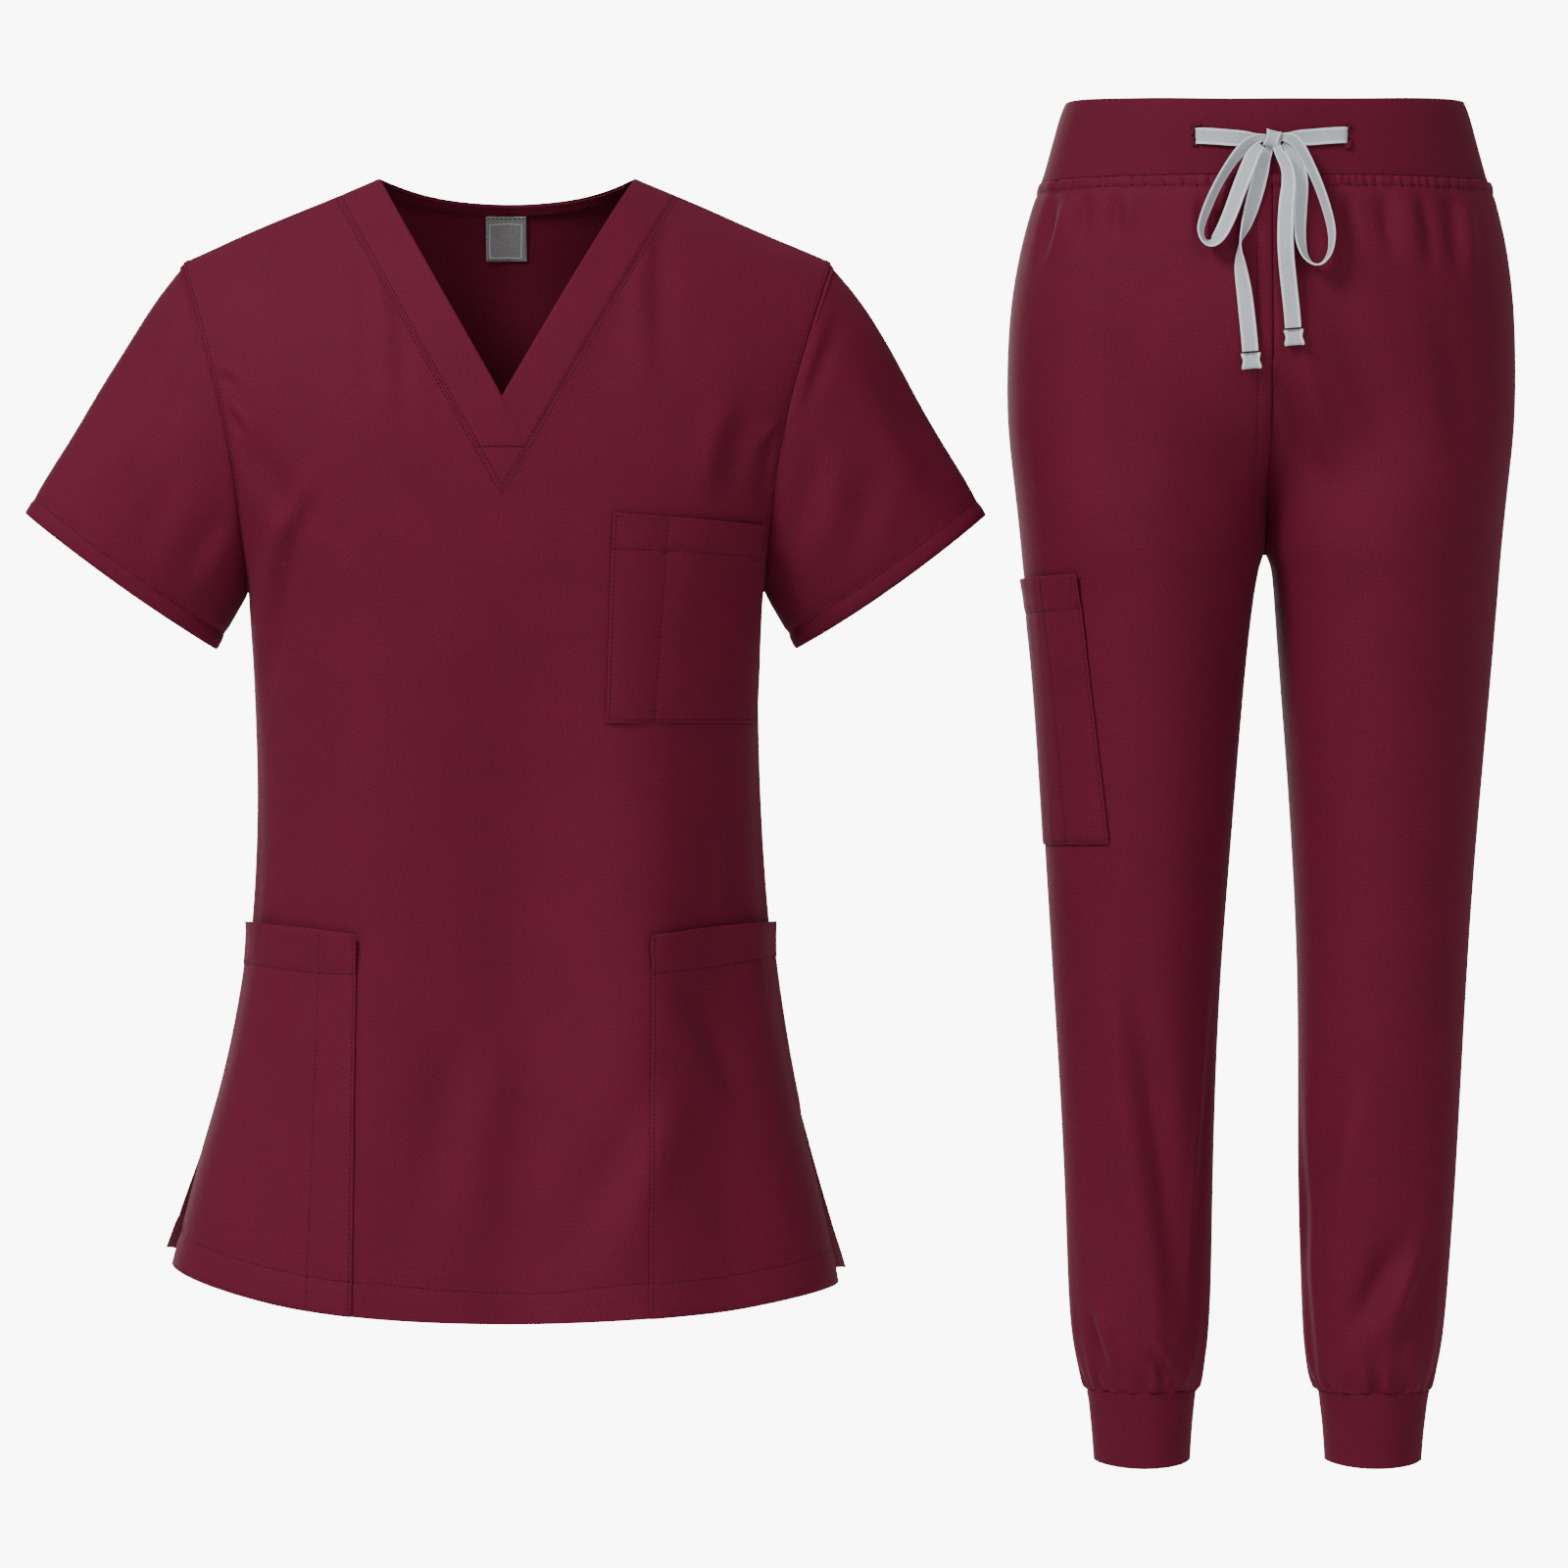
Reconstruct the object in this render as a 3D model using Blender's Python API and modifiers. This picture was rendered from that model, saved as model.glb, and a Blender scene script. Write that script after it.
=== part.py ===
"""Medical scrubs: a V-neck tunic and a pair of drawstring jogger trousers, both filled out as if worn.

Metres, +Z up. The front faces -Y, and the tunic's shoulder points lie at the origin's height. Each
garment is described by sections: how wide and how deep it is at a row of heights, measured down from its top.
"""

import math

import bpy
import numpy as np

# Cloth
POPLIN = 0.0015  # wall of the cut panels
BAND_CLOTH = 0.0020  # neckbands, two layers
PATCH_CLOTH = 0.0012  # pockets, tapes
KNIT = 0.0024  # waistband and cuffs
SEAM = 0.00044  # gap between neighbouring pieces
TUNIC_SEAM = 0.00062  # the same on the tunic, whose seams turn more
SLEEVE_DRAW_IN = 0.0010  # and the sleeves' own share of it at the armholes
RIM_ORDER = (0.11, 0.37, 1.0)  # a direction along which no rim's edge is level
CUT_SNAP = 0.0004  # a cut this near to a point goes through it
TAPE_CLOTH = 0.0010
PATCH_LIFT = 0.0006  # a pocket over the panel that it lies on
CHEST_GAPE = 0.0012  # how far a pocket's mouth stands open
HIP_GAPE = 0.0030
CARGO_GAPE = 0.0010
MOUTH_FADE = 0.012  # the gape is gone by about this far below the mouth

# Tunic
SHOULDER_SLOPE = 0.43
NECK_HALF = 0.0835  # half the neck opening at the shoulder
SHOULDER_HALF = 0.2115
BAND_SEAM_HALF = 0.1104  # where the neckband's outer seam meets the shoulder
NECK_POINT_DROP = 0.1465
BAND_POINT_DROP = 0.2075  # where the neckbands' outer seams meet on the chest
UNDERARM_DROP = 0.2784
BACK_NECK_DROP = 0.0132
BACK_NECK_CURVE = 2.5
SIDE_ROUND = 2.45  # superellipse power of the body's sections
ROOF_CURVE = 2.2  # how the chest and the back leave the shoulder seam
ROOF_REACH = {"front": 0.20, "back": 0.16}  # how far below the seam they still come forward
ROOF_POWER = {"front": 1.6, "back": 1.75}
CUFF_DEPTH = 0.094  # sleeve hem, front to back
POCKET_HEM = 0.024
NECK_TAPE = 0.0062
NECK_TAPE_SHORT = 0.006  # the tape ends this far before the shoulder seams
LABEL_WIDTH = 0.027
LABEL_AT = -0.0027
LABEL_HEIGHT = 0.029
LABEL_DROP = 0.0200
SLEEVE_SWELL = 0.006
SLEEVE_RINGS = 7
SLEEVE_END_BACK = 0.004  # how far the hem's centre lies behind the shoulder point

# Trousers
TROUSERS_AT = (0.4944, 0.0, 0.0455)  # centre of the waistband's top edge
WAIST_SEAM = 0.049
CROTCH = 0.2893
CUFF_SEAM = 0.8370
CUFF_END = 0.8815
CROTCH_CURVE = 0.125  # height over which the hips part into two legs
HIP_ROUND = 2.35
LEG_ROUND = 2.05
CROTCH_SQUARE = 2  # how much squarer the legs' inner side is just below the crotch, and how soon that fades
CROTCH_SQUARE_FADE = 0.06

# Drawstring, flat
STRING_WIDTH = 0.0105
STRING_THICK = 0.0012
KNOT_DROP = 0.0264
KNOT_SIZE = (0.0112, 0.0086, 0.0112)
KNOT_OUT = 0.0052  # its middle in front of the cloth
KNOT_TILT = 14
PINCH_REACH = 0.009
TIP_SIZE = (0.0136, 0.0030, 0.0100)
TIP_OFFSET = (0.0002, 0.0, -0.0060)  # a tip's middle from its tail's last point
TIP_TILT = 3
EYELET_HALF = 0.0485
EYELET_DROP = 0.0240
EYELET_TALL = 0.0135
EYELET_WIDE = 0.0034
EYELET_CUT = 0.012  # depth of the cut, more than the band's wall


def table(columns, *rows):
    """A short table with named columns, as one array for each column."""
    return dict(zip(columns.split(), np.array(rows, float).T))


# Half-widths, depths and the two panels' side edges at each drop below the shoulder points. Above the
# underarm the widths are those of the section that the chest follows, and the armhole cuts it shorter.
TUNIC = table(
    "drop   left    right   back_left back_right front  back",
    (-0.040, 0.2950, 0.2950, 0.2950, 0.2950, 0.084, 0.084),
    (0.060, 0.2700, 0.2700, 0.2700, 0.2700, 0.098, 0.090),
    (0.125, 0.2380, 0.2380, 0.2380, 0.2380, 0.106, 0.096),
    (0.175, 0.2080, 0.2080, 0.2080, 0.2080, 0.110, 0.098),
    (0.225, 0.1860, 0.1860, 0.1860, 0.1860, 0.112, 0.097),
    (0.2784, 0.1678, 0.1668, 0.1678, 0.1668, 0.111, 0.094),
    (0.335, 0.1640, 0.1648, 0.1640, 0.1648, 0.107, 0.088),
    (0.400, 0.1622, 0.1660, 0.1622, 0.1660, 0.103, 0.083),
    (0.480, 0.1655, 0.1704, 0.1655, 0.1704, 0.104, 0.087),
    (0.550, 0.1760, 0.1800, 0.1760, 0.1800, 0.109, 0.096),
    (0.602, 0.1880, 0.1896, 0.1880, 0.1896, 0.115, 0.104),
    (0.633, 0.1978, 0.1965, 0.1990, 0.1978, 0.119, 0.108),
    (0.680, 0.2095, 0.2075, 0.2160, 0.2112, 0.124, 0.113),
    (0.715, 0.2180, 0.2142, 0.2280, 0.2215, 0.128, 0.117),
    (0.745, 0.2220, 0.2180, 0.2340, 0.2260, 0.130, 0.119),
)
ARMHOLE = table(
    "drop    half",
    (0.0550, SHOULDER_HALF),
    (0.1240, 0.1904),
    (0.1664, 0.1797),
    (0.2138, 0.1722),
    (0.2784, 0.1673),
)
HEM = table(
    "side  front_centre front_side back_centre back_side vent",
    (-1, 0.7408, 0.7088, 0.7300, 0.6986, 0.6330),
    (1, 0.7408, 0.7205, 0.7300, 0.7120, 0.6022),
)
HEM_CURVE = 2.6
SLEEVE = table(
    "side  half  slope  centre  drop  crown  hem_bow",
    (-1, 0.0775, 35.6, 0.2528, 0.2634, 0.0038, 0.0020),
    (1, 0.0768, 35.2, 0.2512, 0.2637, 0.0053, 0.0035),
)
VENT_SPREAD = 0.011
VENT_SPREAD_RAMP = 0.10  # height over which the vent's sides spread

# Soft ridges below the neck, seen from the front, and what hangs from the underarms.
CHEST_FOLDS = table("at  width  height", (-0.094, 0.030, 0.0030), (0.096, 0.028, 0.0026))
UNDERARM_FOLDS = table("side  depth", (-1, 0.0045), (1, 0.0036))
UNDERARM_FOLD_AT = 0.150  # from the centre, where it is UNDERARM_FOLD_DROP down
UNDERARM_FOLD_DROP = 0.24
UNDERARM_FOLD_SLANT = 0.30
UNDERARM_FOLD_WIDTH = 0.030
UNDERARM_FOLD_LENGTH = 0.150
BACK_HOLLOW = 0.0040  # between the shoulder blades
BACK_HOLLOW_WIDTH = 0.07
# Waves in the skirt below the waist, as high as given once they have grown.
SKIRT_WAVES = {
    "front": {"top": 0.45, "growth": 0.25, "height": 0.0040, "length": 0.165},
    "back": {"top": 0.40, "growth": 0.30, "height": 0.0050, "length": 0.150},
}

# Corners of the patch pockets, seen from the front: distance from the garment's centre, and drop.
CHEST_POCKET = {
    "inner_top": (0.0714, 0.2219),
    "outer_top": (0.1656, 0.2278),
    "inner_foot": (0.0664, 0.3559),
    "outer_foot": (0.1630, 0.3556),
}
HIP_POCKET = {
    -1: {"inner_top": (-0.0920, 0.4923), "outer_top": (-0.1712, 0.4857), "inner_foot": (-0.0955, 0.7370)},
    1: {"inner_top": (0.0934, 0.4923), "outer_top": (0.1726, 0.4857), "inner_foot": (0.0942, 0.7370)},
}
CARGO_POCKET = {
    "outer_top": (-0.1600, 0.3075),
    "inner_top": (-0.1246, 0.3055),
    "outer_foot": (-0.1500, 0.4800),
    "inner_foot": (-0.1039, 0.4795),
}

# Half-widths of both legs from the trousers' centre, and their depths, at each drop below the waist's top
# edge.
TROUSERS = table(
    "drop  left_out left_in right_in right_out front  back",
    (0.049, 0.1464, 0.0000, 0.0000, 0.1474, 0.0985, 0.0980),
    (0.072, 0.1540, 0.0000, 0.0000, 0.1540, 0.1030, 0.1050),
    (0.098, 0.1606, 0.0000, 0.0000, 0.1600, 0.1070, 0.1130),
    (0.149, 0.1677, 0.0000, 0.0000, 0.1645, 0.1110, 0.1240),
    (0.200, 0.1683, 0.0000, 0.0000, 0.1640, 0.1110, 0.1270),
    (0.251, 0.1630, 0.0000, 0.0000, 0.1585, 0.1060, 0.1200),
    (CROTCH, 0.1590, 0.0000, 0.0000, 0.1545, 0.0980, 0.1080),
    (0.298, 0.1583, 0.0038, 0.0052, 0.1538, 0.0962, 0.1055),
    (0.320, 0.1556, 0.0075, 0.0065, 0.1520, 0.0910, 0.0980),
    (0.376, 0.1502, 0.0134, 0.0102, 0.1472, 0.0820, 0.0860),
    (0.427, 0.1466, 0.0173, 0.0141, 0.1427, 0.0750, 0.0780),
    (0.478, 0.1436, 0.0211, 0.0173, 0.1382, 0.0690, 0.0720),
    (0.580, 0.1382, 0.0288, 0.0211, 0.1318, 0.0590, 0.0630),
    (0.683, 0.1325, 0.0326, 0.0205, 0.1267, 0.0530, 0.0610),
    (0.759, 0.1299, 0.0339, 0.0230, 0.1210, 0.0490, 0.0540),
    (0.800, 0.1274, 0.0358, 0.0248, 0.1172, 0.0470, 0.0490),
    (0.824, 0.1215, 0.0395, 0.0280, 0.1126, 0.0430, 0.0445),
    (CUFF_SEAM, 0.1164, 0.0440, 0.0346, 0.1082, 0.0380, 0.0395),
)
WAISTBAND = table(
    "drop  half    front  back",
    (0.0000, 0.1310, 0.0900, 0.0890),
    (0.0060, 0.1340, 0.0915, 0.0905),
    (0.0240, 0.1392, 0.0940, 0.0930),
    (0.0400, 0.1438, 0.0962, 0.0955),
    (WAIST_SEAM, 0.1464, 0.0972, 0.0968),
)
WAIST_SIDE_RISE = 0.0034  # the top edge stands higher at the sides than in front and behind
CUFF = table(
    "drop       left_out left_in right_in right_out front  back",
    (CUFF_SEAM, 0.1164, 0.0442, 0.0348, 0.1082, 0.0368, 0.0382),
    (0.852, 0.1144, 0.0458, 0.0368, 0.1062, 0.0360, 0.0372),
    (0.866, 0.1130, 0.0468, 0.0384, 0.1043, 0.0356, 0.0366),
    (CUFF_END, 0.1118, 0.0476, 0.0392, 0.1030, 0.0350, 0.0360),
)
CUFF_END_DIP = 0.0045  # the cuff's lower edge hangs lowest at its middle
CUFF_MIDDLE = 0.078  # from the trousers' centre
CUFF_HALF_DEPTH = 0.037

WINE = (0.112, 0.010, 0.027)
WINE_KNIT = (0.104, 0.009, 0.026)
SILVER = (0.500, 0.545, 0.585)
LABEL_GREY = (0.120, 0.115, 0.120)


# ---------------------------------------------------------------- sections


def smooth(section, column, at):
    """A column of a table at any drop: a cubic through its rows that never swings past its neighbours."""
    xs = section["drop"]
    ys = section[column]
    at = np.clip(np.asarray(at, float), xs[0], xs[-1])
    step = np.diff(xs)
    slope = np.diff(ys) / step
    tangent = np.zeros_like(ys)
    tangent[0] = slope[0]
    tangent[-1] = slope[-1]
    same_way = slope[:-1] * slope[1:] > 0
    both = np.where(same_way, slope[:-1] + slope[1:], 1.0)
    tangent[1:-1] = np.where(same_way, 2 * slope[:-1] * slope[1:] / both, 0.0)
    i = np.clip(np.searchsorted(xs, at, side="right") - 1, 0, len(step) - 1)
    t = (at - xs[i]) / step[i]
    return (
        (1 + 2 * t) * (1 - t) ** 2 * ys[i]
        + t * (1 - t) ** 2 * step[i] * tangent[i]
        + t * t * (3 - 2 * t) * ys[i + 1]
        + t * t * (t - 1) * step[i] * tangent[i + 1]
    )


def ease(x):
    """0 below 0, 1 above 1, and level at both ends."""
    x = np.clip(x, 0.0, 1.0)
    return x * x * (3 - 2 * x)


def mix(a, b, t):
    return a + (b - a) * t


def bump(x, middle, width):
    """A soft ridge, 1 at its middle and about 0 one width away."""
    return np.exp(-(((x - middle) / (0.5 * width)) ** 2))


# ---------------------------------------------------------------- tunic surface


def shoulder_drop(x):
    return SHOULDER_SLOPE * (np.abs(x) - NECK_HALF)


def roof(below, face):
    """How far, from 0 to 1, the cloth stands off the shoulder seam's plane at a height below that seam."""
    share = np.clip(below / ROOF_REACH[face], 0.0, 1.0)
    return (1 - (1 - share) ** ROOF_CURVE) ** (1 / ROOF_POWER[face])


def tunic_half(around, drop, face):
    names = ("left", "right") if face == "front" else ("back_left", "back_right")
    return np.where(around < 0, smooth(TUNIC, names[0], drop), smooth(TUNIC, names[1], drop))


def vent_drop(around):
    return np.where(around < 0, HEM["vent"][0], HEM["vent"][1])


def tunic_folds(x, drop, face):
    """The few large folds that hang in the filled-out cloth, as a depth to add."""
    wave = SKIRT_WAVES[face]
    grown = ease((drop - wave["top"]) / wave["growth"])
    fold = wave["height"] * grown * np.cos(2 * math.pi * x / wave["length"])
    if face == "back":
        blade = ease((drop - 0.06) / 0.06) * (1 - ease((drop - 0.26) / 0.14))
        return fold - BACK_HOLLOW * blade * bump(x, 0.0, BACK_HOLLOW_WIDTH)
    chest = ease((drop - 0.02) / 0.05) * (1 - ease((drop - 0.10) / 0.10))
    for at, width, height in zip(*CHEST_FOLDS.values()):
        fold = fold + height * bump(x, at, width) * chest
    for side, depth in zip(*UNDERARM_FOLDS.values()):
        slant = side * x - UNDERARM_FOLD_AT + UNDERARM_FOLD_SLANT * (drop - UNDERARM_FOLD_DROP)
        along = bump(drop, UNDERARM_DROP, UNDERARM_FOLD_LENGTH)
        fold = fold - depth * bump(slant, 0.0, UNDERARM_FOLD_WIDTH) * along
    return fold


def tunic_point(around, drop, face):
    """A point of the body: around runs from -1 at the left side seam through 0 at the centre to 1."""
    around, drop = np.broadcast_arrays(np.asarray(around, float), np.asarray(drop, float))
    angle = around * math.pi / 2
    x = tunic_half(around, drop, face) * np.sign(angle) * np.abs(np.sin(angle)) ** (2 / SIDE_ROUND)
    level = np.abs(np.cos(angle)) ** (2 / SIDE_ROUND)
    level = np.where(np.abs(around) > 1 - 1e-9, 0.0, level)
    depth = smooth(TUNIC, face, drop) + tunic_folds(x, drop, face)
    depth = depth * level * roof(drop - shoulder_drop(x), face)
    open_by = VENT_SPREAD * ease((drop - vent_drop(around)) / VENT_SPREAD_RAMP) * np.abs(around) ** 6
    y = depth + open_by
    return np.stack([x, -y if face == "front" else y, -drop], axis=-1)


def around_at(x, drop, face):
    """The place around the section, from -1 to 1, at a distance x from the centre."""
    x, drop = np.broadcast_arrays(np.asarray(x, float), np.asarray(drop, float))
    share = np.clip(np.abs(x) / tunic_half(np.sign(x), drop, face), 0.0, 1.0)
    return np.sign(x) * np.arcsin(share ** (SIDE_ROUND / 2)) / (math.pi / 2)


def armhole_around(side, drop, face):
    """Where the panel ends at a drop: at the side seam below the underarm, and at the armhole above it."""
    if drop >= UNDERARM_DROP - 1e-9:
        return float(side)
    return float(around_at(side * smooth(ARMHOLE, "half", drop), drop, face))


# ---------------------------------------------------------------- trousers surface


def leg_names(leg):
    return ("left_out", "left_in") if leg < 0 else ("right_out", "right_in")


def leg_point(leg, turn, drop, section=None):
    """A point of one trouser leg: turn runs from 0 at the side seam to 1 at the front's inner edge, and to
    -1 at the back's. Above the crotch the inner edge is the centre seam, and below it the inseam."""
    section = section or TROUSERS
    turn, drop = np.broadcast_arrays(np.asarray(turn, float), np.asarray(drop, float))
    outer, inner = (smooth(section, name, drop) for name in leg_names(leg))
    depth = np.where(turn > 0, smooth(section, "front", drop), smooth(section, "back", drop))
    share = np.abs(turn)
    hip_angle = share * math.pi / 2
    hip_x = outer * np.cos(hip_angle) ** (2 / HIP_ROUND)
    hip_y = depth * np.sin(hip_angle) ** (2 / HIP_ROUND)
    leg_angle = share * math.pi
    inwards = (1 - np.cos(leg_angle)) / 2
    near_crotch = 1 + CROTCH_SQUARE * np.exp(-np.maximum(drop - CROTCH, 0.0) / CROTCH_SQUARE_FADE)
    leg_x = outer * (1 - inwards) + inner * inwards**near_crotch
    leg_y = depth * np.abs(np.sin(leg_angle)) ** (2 / LEG_ROUND)
    parted = ease((drop - CROTCH + CROTCH_CURVE) / CROTCH_CURVE) ** 1.4
    x = leg * mix(hip_x, leg_x, parted)
    y = mix(hip_y, leg_y, parted)
    x = np.where((share > 1 - 1e-9) & (drop < CROTCH + 1e-9), 0.0, x)
    y = np.where((share > 1 - 1e-9) & (drop > CROTCH - 1e-9), 0.0, y)
    return np.stack([x, -np.sign(turn) * y, -drop], axis=-1)


def waist_point(around, drop):
    """A point of the waistband: around runs once round, 0 at the centre back."""
    around, drop = np.broadcast_arrays(np.asarray(around, float), np.asarray(drop, float))
    angle = 2 * math.pi * around
    half = smooth(WAISTBAND, "half", drop)
    front = smooth(WAISTBAND, "front", drop)
    back = smooth(WAISTBAND, "back", drop)
    x = -half * np.sign(np.sin(angle)) * np.abs(np.sin(angle)) ** (2 / HIP_ROUND)
    level = np.sign(np.cos(angle)) * np.abs(np.cos(angle)) ** (2 / HIP_ROUND)
    rise = WAIST_SIDE_RISE * (x / half) ** 2 * (1 - drop / WAIST_SEAM)
    return np.stack([x, np.where(level > 0, back, front) * level, rise - drop], axis=-1)


def front_at(x, drop):
    """How far the trousers' front stands out at a place on it."""
    on_band = drop < WAIST_SEAM
    half = smooth(WAISTBAND, "half", drop) if on_band else smooth(TROUSERS, "left_out", drop)
    depth = smooth(WAISTBAND, "front", drop) if on_band else smooth(TROUSERS, "front", drop)
    return float(depth * (1 - (abs(x) / half) ** HIP_ROUND) ** (1 / HIP_ROUND))


# ---------------------------------------------------------------- cloth walls


class Sheet:
    """The outer face of one piece of cloth: points, and triangles that turn outwards."""

    def __init__(self, points, faces, normals=None):
        rounded = np.round(points, 7) + 0.0  # the sum turns -0 into 0
        _, first, index = np.unique(rounded, axis=0, return_index=True, return_inverse=True)
        index = index.reshape(-1)
        self.points = points[first]
        self.normals = None if normals is None else normals[first]
        self.faces = []
        for face in faces:
            corners = list(dict.fromkeys(index[list(face)]))
            if len(corners) == 4 and self.span(corners[0], corners[2]) > self.span(corners[1], corners[3]):
                corners = corners[1:] + corners[:1]
            self.faces += [(corners[0], *corners[k : k + 2]) for k in range(1, len(corners) - 1)]

    def span(self, a, b):
        return np.linalg.norm(self.points[a] - self.points[b])

    def border(self):
        """The outline's edges, each the way its face runs."""
        edges = {(a, b) for face in self.faces for a, b in zip(face, face[1:] + face[:1])}
        return [(a, b) for a, b in edges if (b, a) not in edges]


def trimmed(sheet, field, keep_all=False):
    """The part of a sheet where field is positive, cut exactly through its faces. keep_all only adds the cut
    as a line of points. What is cut from a sheet lies parallel to it at every lift."""
    values = np.array(field(sheet.points), float)
    values[np.abs(values) < CUT_SNAP] = 0.0
    points, normals = list(sheet.points), list(sheet.normals)
    between = {}

    def crossing(a, b):
        key = (min(a, b), max(a, b))
        if key not in between:
            share = values[a] / (values[a] - values[b])
            points.append(mix(sheet.points[a], sheet.points[b], share))
            normals.append(mix(sheet.normals[a], sheet.normals[b], share))
            between[key] = len(points) - 1
        return between[key]

    faces = []
    for sign in (1, -1) if keep_all else (1,):
        for face in sheet.faces:
            part = []
            for a, b in zip(face, face[1:] + face[:1]):
                if values[a] * sign >= 0:
                    part.append(a)
                if values[a] * values[b] < 0:
                    part.append(crossing(a, b))
            flat = all(values[i] == 0.0 for i in part if i < len(values)) and sign < 0
            if len(part) > 2 and not flat:
                faces.append(part)
    used = np.unique(np.concatenate(faces))
    place = {old: new for new, old in enumerate(used)}
    faces = [[place[i] for i in face] for face in faces]
    return Sheet(np.array(points)[used], faces, np.array(normals)[used])


def level_line(x_one, drop_one, x_two, drop_two):
    """A field for trimmed: positive below the line from one point to the other, seen from the front."""

    def below(points):
        return -points[:, 2] - drop_one - (points[:, 0] - x_one) * (drop_two - drop_one) / (x_two - x_one)

    return below


def upright_line(x_top, drop_top, x_bottom, drop_bottom):
    """A field for trimmed: positive to the right of the line from its top to its bottom."""

    def right_of(points):
        share = (-points[:, 2] - drop_top) / (drop_bottom - drop_top)
        return points[:, 0] - mix(x_top, x_bottom, share)

    return right_of


def opposite(field):
    return lambda points: -field(points)


def grid_sheet(grid, outward, ring=False):
    """A sheet through rows of points. It is turned over if it doesn't face outward at its middle."""
    rows, columns = grid.shape[:2]
    faces = []
    for i in range(rows - 1):
        for j in range(columns if ring else columns - 1):
            k = (j + 1) % columns
            faces.append((i * columns + j, i * columns + k, (i + 1) * columns + k, (i + 1) * columns + j))
    middle = grid[rows // 2, columns // 2]
    across = grid[rows // 2, (columns // 2 + 1) % columns] - grid[rows // 2, columns // 2 - 1]
    along = grid[min(rows // 2 + 1, rows - 1), columns // 2] - grid[max(rows // 2 - 1, 0), columns // 2]
    if np.dot(np.cross(across, along), outward(middle)) < 0:
        faces = [face[::-1] for face in faces]
    return Sheet(grid.reshape(-1, 3), faces)


def joined(first, second):
    count = len(first.points)
    moved = [tuple(i + count for i in face) for face in second.faces]
    normals = None if first.normals is None else np.vstack([first.normals, second.normals])
    return Sheet(np.vstack([first.points, second.points]), list(first.faces) + moved, normals)


def place_key(point):
    return tuple(np.round(point, 6) + 0.0)


def shared_normals(sheets, planes=()):
    """Normals at every point, the same for all the sheets that meet there. planes are seams' planes, as
    (axis, place): at a seam both neighbours' walls stand in its plane, so their edges can't cross."""
    totals = {}
    for sheet in sheets:
        for face in sheet.faces:
            a, b, c = (sheet.points[i] for i in face)
            normal = np.cross(b - a, c - a)
            for i in face:
                key = place_key(sheet.points[i])
                totals[key] = totals.get(key, np.zeros(3)) + normal
    for sheet in sheets:
        sheet.normals = np.array([totals[place_key(p)] for p in sheet.points])
        for axis, place in planes:
            at_seam = np.abs(sheet.points[:, axis] - place) < 1e-6
            sheet.normals[at_seam, axis] = 0.0
        sheet.normals /= np.linalg.norm(sheet.normals, axis=1, keepdims=True)


def draw_in_border(sheet, distance):
    """Moves the outline into the sheet, which leaves the seam's gap to the neighbour."""
    inward = np.zeros_like(sheet.points)
    for a, b in sheet.border():
        edge = sheet.points[b] - sheet.points[a]
        side = np.cross(sheet.normals[a] + sheet.normals[b], edge)
        side /= np.linalg.norm(side)
        inward[a] += side
        inward[b] += side
    length = np.linalg.norm(inward, axis=1)
    moving = length > 1e-9
    sheet.points[moving] += distance * inward[moving] / length[moving, None]


def wall(name, sheet, thickness, material, lift=None, parent=None):
    """The sheet as a closed wall. Its outer face lies on the sheet, or with a lift its inner face stands off
    by that much."""
    outer_at, inner_at = (0.0, -thickness) if lift is None else (lift + thickness, lift)
    outer_at, inner_at = (np.reshape(at, (-1, 1)) for at in (outer_at, inner_at))
    count = len(sheet.points)
    outer = sheet.points + outer_at * sheet.normals
    inner = sheet.points + inner_at * sheet.normals
    faces = list(sheet.faces)
    faces += [tuple(i + count for i in face[::-1]) for face in sheet.faces]
    for a, b in sheet.border():
        # Both walls at a seam split their rims along the same line, so that the rims can't cross.
        if np.dot(sheet.points[b] - sheet.points[a], RIM_ORDER) > 0:
            faces += [(b, a, a + count), (b, a + count, b + count)]
        else:
            faces += [(b, a, b + count), (a, a + count, b + count)]
    return solid(name, np.vstack([outer, inner]), faces, material, parent)


def solid(name, points, faces, material, parent=None):
    mesh = bpy.data.meshes.new(name)
    mesh.from_pydata([tuple(p) for p in points], [], faces)
    mesh.materials.append(material)
    mesh.shade_smooth()
    mesh.set_sharp_from_angle(angle=math.radians(40))
    piece = bpy.data.objects.new(name, mesh)
    SCRUBS.objects.link(piece)
    piece.parent = parent
    return piece


def principled(name, colour, roughness):
    material = bpy.data.materials.new(name)
    material.use_nodes = True
    shader = material.node_tree.nodes["Principled BSDF"]
    shader.inputs["Base Color"].default_value = (*colour, 1)
    shader.inputs["Roughness"].default_value = roughness
    shader.inputs["Metallic"].default_value = 0.0
    material.diffuse_color = (*colour, 1)
    return material


# ---------------------------------------------------------------- tunic panels

VENT_ROWS = 3  # hem to the vents' top
BODY_ROWS = 10  # vents' top to underarm
ARM_ROWS = 10  # underarm to shoulder
ARM_CROWDING = 1.9  # rows lie closer towards the shoulder, where the cloth turns over
NECK_ROWS = 8  # end of the neckbands to shoulder
HALF_COLUMNS = 11
BACK_NECK_COLUMNS = 5


def side_drops(side, face):
    """Drops of a panel's rows along its outer edge, from the hem up to the shoulder."""
    row = 0 if side < 0 else 1
    vent = HEM["vent"][row]
    tails = np.linspace(HEM[f"{face}_side"][row], vent, VENT_ROWS + 1)
    body = np.linspace(vent, UNDERARM_DROP, BODY_ROWS + 1)
    step = np.linspace(0, 1, ARM_ROWS + 1)
    climb = mix(step, 1 - (1 - step) ** ARM_CROWDING, step)
    arm = mix(UNDERARM_DROP, shoulder_drop(SHOULDER_HALF), climb)
    return np.concatenate([tails, body[1:], arm[1:]])


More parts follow.
